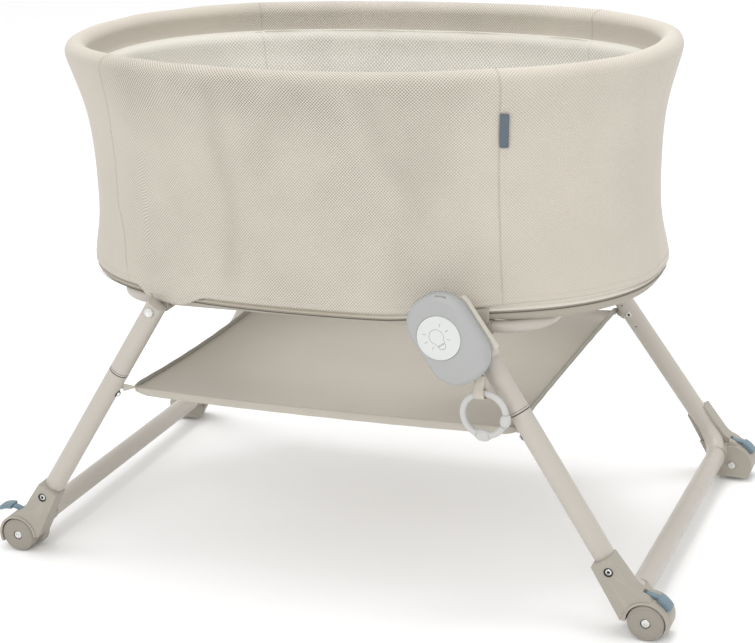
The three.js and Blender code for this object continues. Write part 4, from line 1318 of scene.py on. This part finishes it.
def foot_solid():
    """The moulded housing, drawn once for the +X +Y corner."""
    hub_x, hub_z = HUB[0], HUB[2]
    across = np.array([SOCKET_R * abs(LEG_DOWN[2]), SOCKET_R * LEG_DOWN[0]])
    left, right = SOCKET_TOP[[0, 2]] - across, SOCKET_TOP[[0, 2]] + across
    outline = [left, (0.4427, 0.0088), (hub_x, hub_z), polar(0.030, 75), (0.4700, 0.059), (0.4550, 0.066), right]
    web = slab_y(rounded_outline(outline, [0.001, 0, 0, 0.002, 0.010, 0.024, 0.001]), 0.2520, 0.2846)
    hood = rod_y(0.030, hub_x, hub_z, 0.246, 0.2863, 96)
    start = on_leg(0.060)
    socket = rod(-LEG_DOWN, start, SOCKET_R, 0, np.linalg.norm(SOCKET_TOP - start), 64)
    sleeve = rod_y(SOCKET_R, LEG_END[0], LEG_END[2], 0.2290, 0.2560)
    foot = combine(hood, [web, socket, sleeve])
    return combine(foot, cut=[
        solid(*sweep(u_frame_path(), TUBE_R + 0.0003, 48)),
        rod_y(0.0266, hub_x, hub_z, ARCH_IN, ARCH_OUT, 96),
        block(0.38, 0.52, 0.23, 0.30, -0.02, 0.005),
        block(0.38, hub_x, ARCH_IN, ARCH_OUT, -0.02, hub_z),
        block(hub_x, 0.52, ARCH_IN, ARCH_OUT, -0.02, 0.013),
        block(0.36, 0.462, 0.23, 0.258, 0.056, 0.13),
        block(0.4613, 0.480, 0.2615, 0.2715, 0.0546, 0.09),
        rod_y(0.0045, hub_x, hub_z, 0.24, 0.27, 32),
        rod_y(0.0053, SCREW_PLACE[0], SCREW_PLACE[2], 0.281, 0.30, 40)])


# ---------- brake levers ----------
LEVER_ANGLE, LEVER_R, LEVER_RAISE = 92, 0.0335, math.radians(30)
LEVER_PIVOT = polar(LEVER_R, LEVER_ANGLE)


def arc_band(inner, outer, start, end, steps=12):
    angles = np.linspace(start, end, steps + 1)
    return [polar(outer, a) for a in angles] + [polar(inner, a) for a in angles[::-1]]


def lever_solid():
    pad = slab_y(rounded_outline(arc_band(0.0307, 0.0365, 66, 31, 14), 0.0), 0.258, 0.276)
    arm = slab_y(arc_band(0.031, 0.0346, LEVER_ANGLE, 62), 0.262, 0.271)
    barrel = rod_y(0.003, *LEVER_PIVOT, 0.262, 0.271, 32)
    grooves = [rod_y(0.0008, *polar(0.0369, a), 0.250, 0.285, 12) for a in (34, 39, 44)]
    return combine(pad, [arm, barrel], grooves)


# ---------- leg brackets ----------
def bracket_solid():
    outline = rounded_outline([(0.221, 0.369), (0.247, 0.369), (0.247, 0.3934), (0.221, 0.3934)],
                              [0.006, 0.006, 0.001, 0.001], 6)
    ring_hole = rod([1, 0, 0], [0, RING_B, RING_Z], RING_R + 0.0004, 0.20, 0.27, 40)
    bolt_hole = rod_y(0.0043, PIVOT[0], PIVOT[2], 0.216, 0.226, 32)
    return combine(slab_y(outline, 0.198, 0.2228), cut=[ring_hole, bolt_hole])


foot_model = edges_rounded(clean(foot_solid()), 0.0011, 3, 32, 32)
lever_model = edges_rounded(clean(lever_solid()), 0.0009, 3, 40, 35)
bracket_model = edges_rounded(clean(bracket_solid()), 0.0012, 3, 35, 35)
raised_model = linked("raised", lever_model.data.copy())
to_pivot = Matrix.Translation((LEVER_PIVOT[0], 0, LEVER_PIVOT[1]))
raised_model.data.transform(to_pivot @ Matrix.Rotation(-LEVER_RAISE, 4, "Y") @ to_pivot.inverted())

for corner, signs in CORNERS.items():
    mirrored_copy(foot_model, f"{corner}_housing", *signs, "plastic", frame_of(corner), f"{corner}_foot",
                  "housing_plastic")
    mirrored_copy(raised_model if corner == "left_front" else lever_model, f"{corner}_pedal", *signs, "brake",
                  f"{corner}_brake", f"{corner}_brake_lever", "brake_blue")
for corner, signs in CORNERS.items():
    mirrored_copy(bracket_model, f"{corner}_bracket", *signs, "plastic", "basket", f"{corner}_pivot_bracket",
                  "housing_plastic")
for model in (foot_model, lever_model, raised_model, bracket_model):
    bpy.data.objects.remove(model)

# ---------- night light ----------
POD = Matrix.Translation(POD_PLACE) @ Matrix.Rotation(-POD_TILT, 4, "Y")
POD_W, POD_L, POD_CORNER, POD_D = 0.086, 0.124, 0.038, 0.026
CORNER_X, CORNER_Z = POD_W / 2 - POD_CORNER, POD_L / 2 - POD_CORNER
BUTTON_X, BUTTON_Z, BUTTON_R = -0.0054, 0.0082, 0.0296


def shell_rows(width, length, corner, profile):
    """Rings of a rounded plate; profile is a list of (inset, y)."""
    rows = []
    for inset, y in profile:
        outline = rounded_plate(width - 2 * inset, length - 2 * inset, max(corner - inset, 0.001))
        rows.append(np.stack([outline[:, 0], np.full(len(outline), y), outline[:, 1]], -1))
    return rows


def in_pod(verts):
    m = np.array(POD)
    return np.asarray(verts, float) @ m[:3, :3].T + m[:3, 3]


def fitted(o, name, material, node):
    """Puts a finished solid of the night light in its place."""
    o.data.transform(POD)
    o.name = name
    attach(dress(o, material), "right_frame")
    stands_for(o, node)


def pod_shell():
    front, r = -POD_D / 2, 0.0105
    quarter = math.pi / 2
    profile = [(r + 0.02, -front)]
    profile += [(r * (1 - math.sin(a)), -front - 0.006 + 0.006 * math.cos(a)) for a in np.linspace(0, quarter, 7)]
    profile += [(0.0, 0.004)]
    profile += [(r * (1 - math.cos(a)), front + r * (1 - math.sin(a))) for a in np.linspace(0, quarter, 12)]
    profile += [(r + 0.004, front - 0.0002), (r + 0.010, front - 0.0003)]
    rows = shell_rows(POD_W, POD_L, POD_CORNER, profile)
    n = len(rows[0])
    body = solid(np.concatenate(rows), grid_faces(len(rows), n) + [f[::-1] for f in end_caps(len(rows), n)])
    well = rod_y(BUTTON_R + 0.0004, BUTTON_X, BUTTON_Z, front - 0.01, front + 0.0068, 96)
    slot = block(-0.0075, 0.0075, -0.0096, -0.0072, POD_CORNER - 0.0070, POD_CORNER + 0.01)
    slot.data.transform(Matrix.Translation((CORNER_X, 0, CORNER_Z)) @ Matrix.Rotation(math.radians(37), 4, "Y"))
    dots = [rod([0, 0, 1], [x, 0.002, 0], 0.0008, POD_L / 2 - 0.002, POD_L / 2 + 0.004, 16)
            for x in (-0.004, 0.0, 0.004)]
    body = clean(combine(body, cut=[well, slot, *dots]), 4e-5, 1)
    fitted(edges_rounded(body, 0.0005, 2, 50, 32), "pod_shell", "pod", "pod_body")
    seam = shell_rows(POD_W + 0.0002, POD_L + 0.0002, POD_CORNER, [(0, 0.0045)])[0]
    verts, faces = sweep(seam, 0.0003, 8, closed=True)
    make("pod_parting_line", in_pod(verts), faces, MAT["mark"], "right_frame")


pod_shell()


def pod_front():
    """The button, with the raised outline of a light bulb and six rays."""
    front, back, side = -POD_D / 2 - 0.0015, -POD_D / 2 + 0.0045, -POD_D / 2 + 0.002
    profile = rounded_profile([(0.0001, back), (BUTTON_R, back), (BUTTON_R, front + 0.0004), (0.0001, front)],
                              0.0013, 6)
    profile += [(BUTTON_R * f, front + 0.0004 * f**2) for f in (0.9, 0.75, 0.5, 0.25)]
    face = sorted((p for p in profile if p[1] <= side), key=lambda p: -p[0])
    verts, faces = lathe([p for p in profile if p[1] > side] + face, [BUTTON_X, 0, BUTTON_Z], [0, 1, 0], 96)
    made = fix_normals(make("pod_face", in_pod(verts), faces, MAT["white"], "light_button"))
    stands_for(smooth_by_angle(made, 40), "pod_button")

    def line(points, closed=False):
        on_face = [(BUTTON_X + x, front + 0.00035, BUTTON_Z + z) for x, z in points]
        verts, faces = sweep(on_face, 0.00042, 10, closed)
        return in_pod(verts), faces

    def from_bulb(radius, a):
        return -0.0010 + radius * math.sin(a), 0.0030 + radius * math.cos(a)

    glass = [from_bulb(0.0098, a) for a in np.linspace(-2.45, 2.45, 60)]
    neck = [(0.0052, -0.0070), (0.0050, -0.0085), (-0.0068, -0.0085), (-0.0070, -0.0070)]
    base = [(-0.0009 + 0.0052 * math.cos(a), -0.0098 - 0.0056 * math.sin(a)) for a in np.linspace(0, math.pi, 16)]
    parts = [line(glass + neck, True), line([(0.0043, -0.0096), *base, (-0.0061, -0.0096)], True)]
    for degrees in (-130, -89, -50, 50, 89, 130):
        parts.append(line([from_bulb(q, math.radians(degrees)) for q in np.linspace(0.0142, 0.0188, 5)]))
    joined("pod_bulb_mark", parts, MAT["mark"], "light_button")


pod_front()


def pod_clip():
    """The cream plate behind the light, with a strip that shows beside it and a collar round the leg."""
    back, front = POD_D / 2 + 0.0003, POD_D / 2 + 0.0003 + 0.011
    outline = [(x - 0.001, z - 0.006) for x, z in rounded_plate(0.056, 0.088, 0.020, 10)]
    plate = slab_y(outline, back, front)
    inverse = np.array(POD.inverted())
    origin = inverse[:3, :3] @ (on_leg(0.350) * [1, -1, 1]) + inverse[:3, 3]
    axis = inverse[:3, :3] @ (-LEG_DOWN * [1, -1, 1])
    collar = rod(axis, origin, 0.0176, 0, 0.020, 64)
    hole = rod(axis, origin, TUBE_R + 0.0003, -0.04, 0.05, 64)
    turns, outer, inner = np.radians(np.linspace(0, 20, 9)), 0.0374, 0.0312
    strip = [(CORNER_X + outer, -0.043)]
    strip += [(CORNER_X + outer * math.cos(a), CORNER_Z + outer * math.sin(a)) for a in turns]
    strip += [(CORNER_X + inner * math.cos(a), CORNER_Z + inner * math.sin(a)) for a in turns[::-1]]
    strip += [(CORNER_X + inner, -0.043)]
    clip = combine(plate, [collar, slab_y(strip, back, front)])
    mouth = block(0.150, 0.330, -0.236, -0.200, 0.300, 0.420)
    mouth.data.transform(POD.inverted())
    clip = edges_rounded(clean(combine(clip, cut=[hole, mouth])), 0.0011, 3, 35, 35)
    fitted(clip, "clip", "cream", "pod_clip")


pod_clip()


# ---------- strap and teether ----------
def strap():
    """A tape that hangs from the light and loops round the top of the ring."""
    x0, width = TEETHER[0] - 0.006, 0.0142
    line = [(0.002, -0.2740, 0.3390), (0.001, -0.2744, 0.3300), (0, -0.2750, 0.3220), (0.001, -0.2785, 0.3160),
            (0.002, -0.2785, 0.3090), (0.002, -0.2720, 0.3055), (0.002, -0.2662, 0.3090), (0.002, -0.2665, 0.3160),
            (0.001, -0.2698, 0.3215), (0.001, -0.2712, 0.3300), (0.002, -0.2712, 0.3390)]
    line = np.array(line) + [x0, 0, 0]
    s = lengths_along(line)
    path = along_path(line, s, np.linspace(0, s[-1], 60))
    for _ in range(4):
        path[1:-1] = (path[:-2] + 2 * path[1:-1] + path[2:]) / 4
    along = unit(np.gradient(path, axis=0))
    side = unit(np.array([1.0, 0, 0]) - along * along[:, :1])
    normal = np.cross(along, side)
    half, thick = width / 2, 0.00075
    upper = [(-half + 0.0005, thick), (-half * 0.4, thick), (half * 0.4, thick), (half - 0.0005, thick)]
    section = [(-half, 0), *upper, (half, 0), *[(a, -b) for a, b in upper[::-1]]]
    points = np.array([[p + sd * a + n * b for a, b in section] for p, sd, n in zip(path, side, normal)])
    n = len(section)
    faces = grid_faces(len(path), n) + [tuple(range(n)), tuple(range((len(path) - 1) * n, len(path) * n))]
    made = fix_normals(make("teether_strap", points.reshape(-1, 3), faces, MAT["strap"], "right_frame"))
    stands_for(made, "pod_strap")
    across = [(x0 + 0.001 + dx, -0.2752, 0.3185) for dx in np.linspace(-0.005, 0.005, 12)]
    run = stitch_run("strap_stitches", across, [(0, -1, 0)] * 12, 0.0014, 0.0007, 0.0003, "right_frame")


strap()
TEETHER_R, TEETHER_BAR = 0.029, 0.0043


def towards(angle):
    return np.array([math.cos(angle), 0, math.sin(angle)])


def bead(angle, degrees, width):
    """1 at a bead of the ring, 0 away from it, with steep shoulders."""
    off = (angle - math.radians(degrees) + math.pi) % TAU - math.pi
    return math.exp(-((off / width) ** 4))


def teether():
    """A ring with two thicker beads, each between two grooves."""
    rows = []
    for angle in np.arange(120) * TAU / 120:
        low, right = bead(angle, 265, 0.30), bead(angle, 348, 0.25)
        wide = TEETHER_BAR + 0.0040 * low + 0.0030 * right
        deep = TEETHER_BAR * 0.92 + 0.0012 * low + 0.0009 * right
        out = towards(angle)
        rows.append([TEETHER + out * (TEETHER_R + wide * math.cos(t)) + [0, deep * math.sin(t), 0]
                     for t in np.arange(24) * TAU / 24])
    made = fix_normals(grid("teether", rows, MAT["teether"], "teether", close_v=True))
    stands_for(made, "teether_ring")
    grooves = []
    for degrees in (265 - 17, 265 + 17, 348 - 17, 348 + 17):
        out = towards(math.radians(degrees))
        circle = [TEETHER + out * (TEETHER_R + 0.0047 * math.cos(t)) + [0, 0.0044 * math.sin(t), 0]
                  for t in np.arange(32) * TAU / 32]
        grooves.append(sweep(circle, 0.00035, 8, closed=True))
    joined("teether_grooves", grooves, MAT["mark"], "teether")


teether()

# ---------- carried-over CAD pieces ----------
PLAIN = {"rim_hoop": "tube", "base_tray": "tray", "base_board": "tray"}
for corner in CORNERS:
    PLAIN.update({f"{corner}_upright": "tube", f"{corner}_pivot_bolt": "steel"})
for node, material in PLAIN.items():
    set_smooth(dress(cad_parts[node], material).data, False)


# ---------- floor, light and camera ----------
def floor(reach=14.0, z=-0.0005):
    m = Material("floor_paper", Roughness=0.95, Specular_IOR_Level=0.1)
    patches = m.spread(m.noise(1.5), 0.2, 0.8, 0.0, 0.3)
    m.put(m.shader.inputs["Base Color"], m.mix(patches, (0.95, 0.95, 0.95, 1), (0.93, 0.93, 0.93, 1)))
    corners = [(-reach, -reach, z), (reach, -reach, z), (reach, reach, z), (-reach, reach, z)]
    make("floor", corners, [(0, 1, 2, 3)], m.material, None, smooth=False)


floor()


def area_light(name, place, target, size, power):
    light = bpy.data.lights.new(name, "AREA")
    light.shape, light.size, light.energy = "DISK", size, power
    o = linked(name, light)
    o.location = place
    o.rotation_mode = "QUATERNION"
    o.rotation_quaternion = (Vector(target) - Vector(place)).to_track_quat("-Z", "Y")
    return o


area_light("key", (0.4, -3.2, 2.4), (0, 0, 0.45), 2.2, 30)
area_light("fill", (-2.6, -1.2, 1.0), (0, 0, 0.3), 1.8, 2)
area_light("top", (0.1, 0.3, 3.3), (0, 0, 0.5), 1.6, 42)
under = area_light("under", (0.04, 0, 0.366), (0.04, 0, 0), 0.54, 0.42)
under.data.shape, under.data.size_y = "ELLIPSE", 0.38
under.visible_camera = False

world = bpy.data.worlds.new("studio")
bpy.context.scene.world = world
world.use_nodes = True
world.node_tree.nodes["Background"].inputs["Color"].default_value = (1, 1, 1, 1)
world.node_tree.nodes["Background"].inputs["Strength"].default_value = 1.0
bpy.context.scene.view_settings.view_transform = "Standard"

CAMERA_PLACE = Vector((1.0009, -2.3864, 1.1801))
CAMERA_TURN, CAMERA_DROP, CAMERA_ROLL = 0.39795, 0.32820, -0.04881
SENSOR, FOCAL, PHOTO_W = 36.0, 1878.9, 755
camera_data = bpy.data.cameras.new("camera")
camera_data.sensor_width, camera_data.lens = SENSOR, SENSOR * FOCAL / PHOTO_W
camera_data.clip_start, camera_data.clip_end = 0.05, 60
camera = linked("camera", camera_data)
ahead = Vector((-math.sin(CAMERA_TURN) * math.cos(CAMERA_DROP), math.cos(CAMERA_TURN) * math.cos(CAMERA_DROP),
                -math.sin(CAMERA_DROP)))
right = Vector((math.cos(CAMERA_TURN), math.sin(CAMERA_TURN), 0))
up = right.cross(ahead)
rolled_right = right * math.cos(CAMERA_ROLL) + up * math.sin(CAMERA_ROLL)
rolled_up = up * math.cos(CAMERA_ROLL) - right * math.sin(CAMERA_ROLL)
turned_camera = Matrix((rolled_right, rolled_up, -ahead)).transposed().to_4x4()
camera.matrix_world = Matrix.Translation(CAMERA_PLACE) @ turned_camera
bpy.context.scene.camera = camera
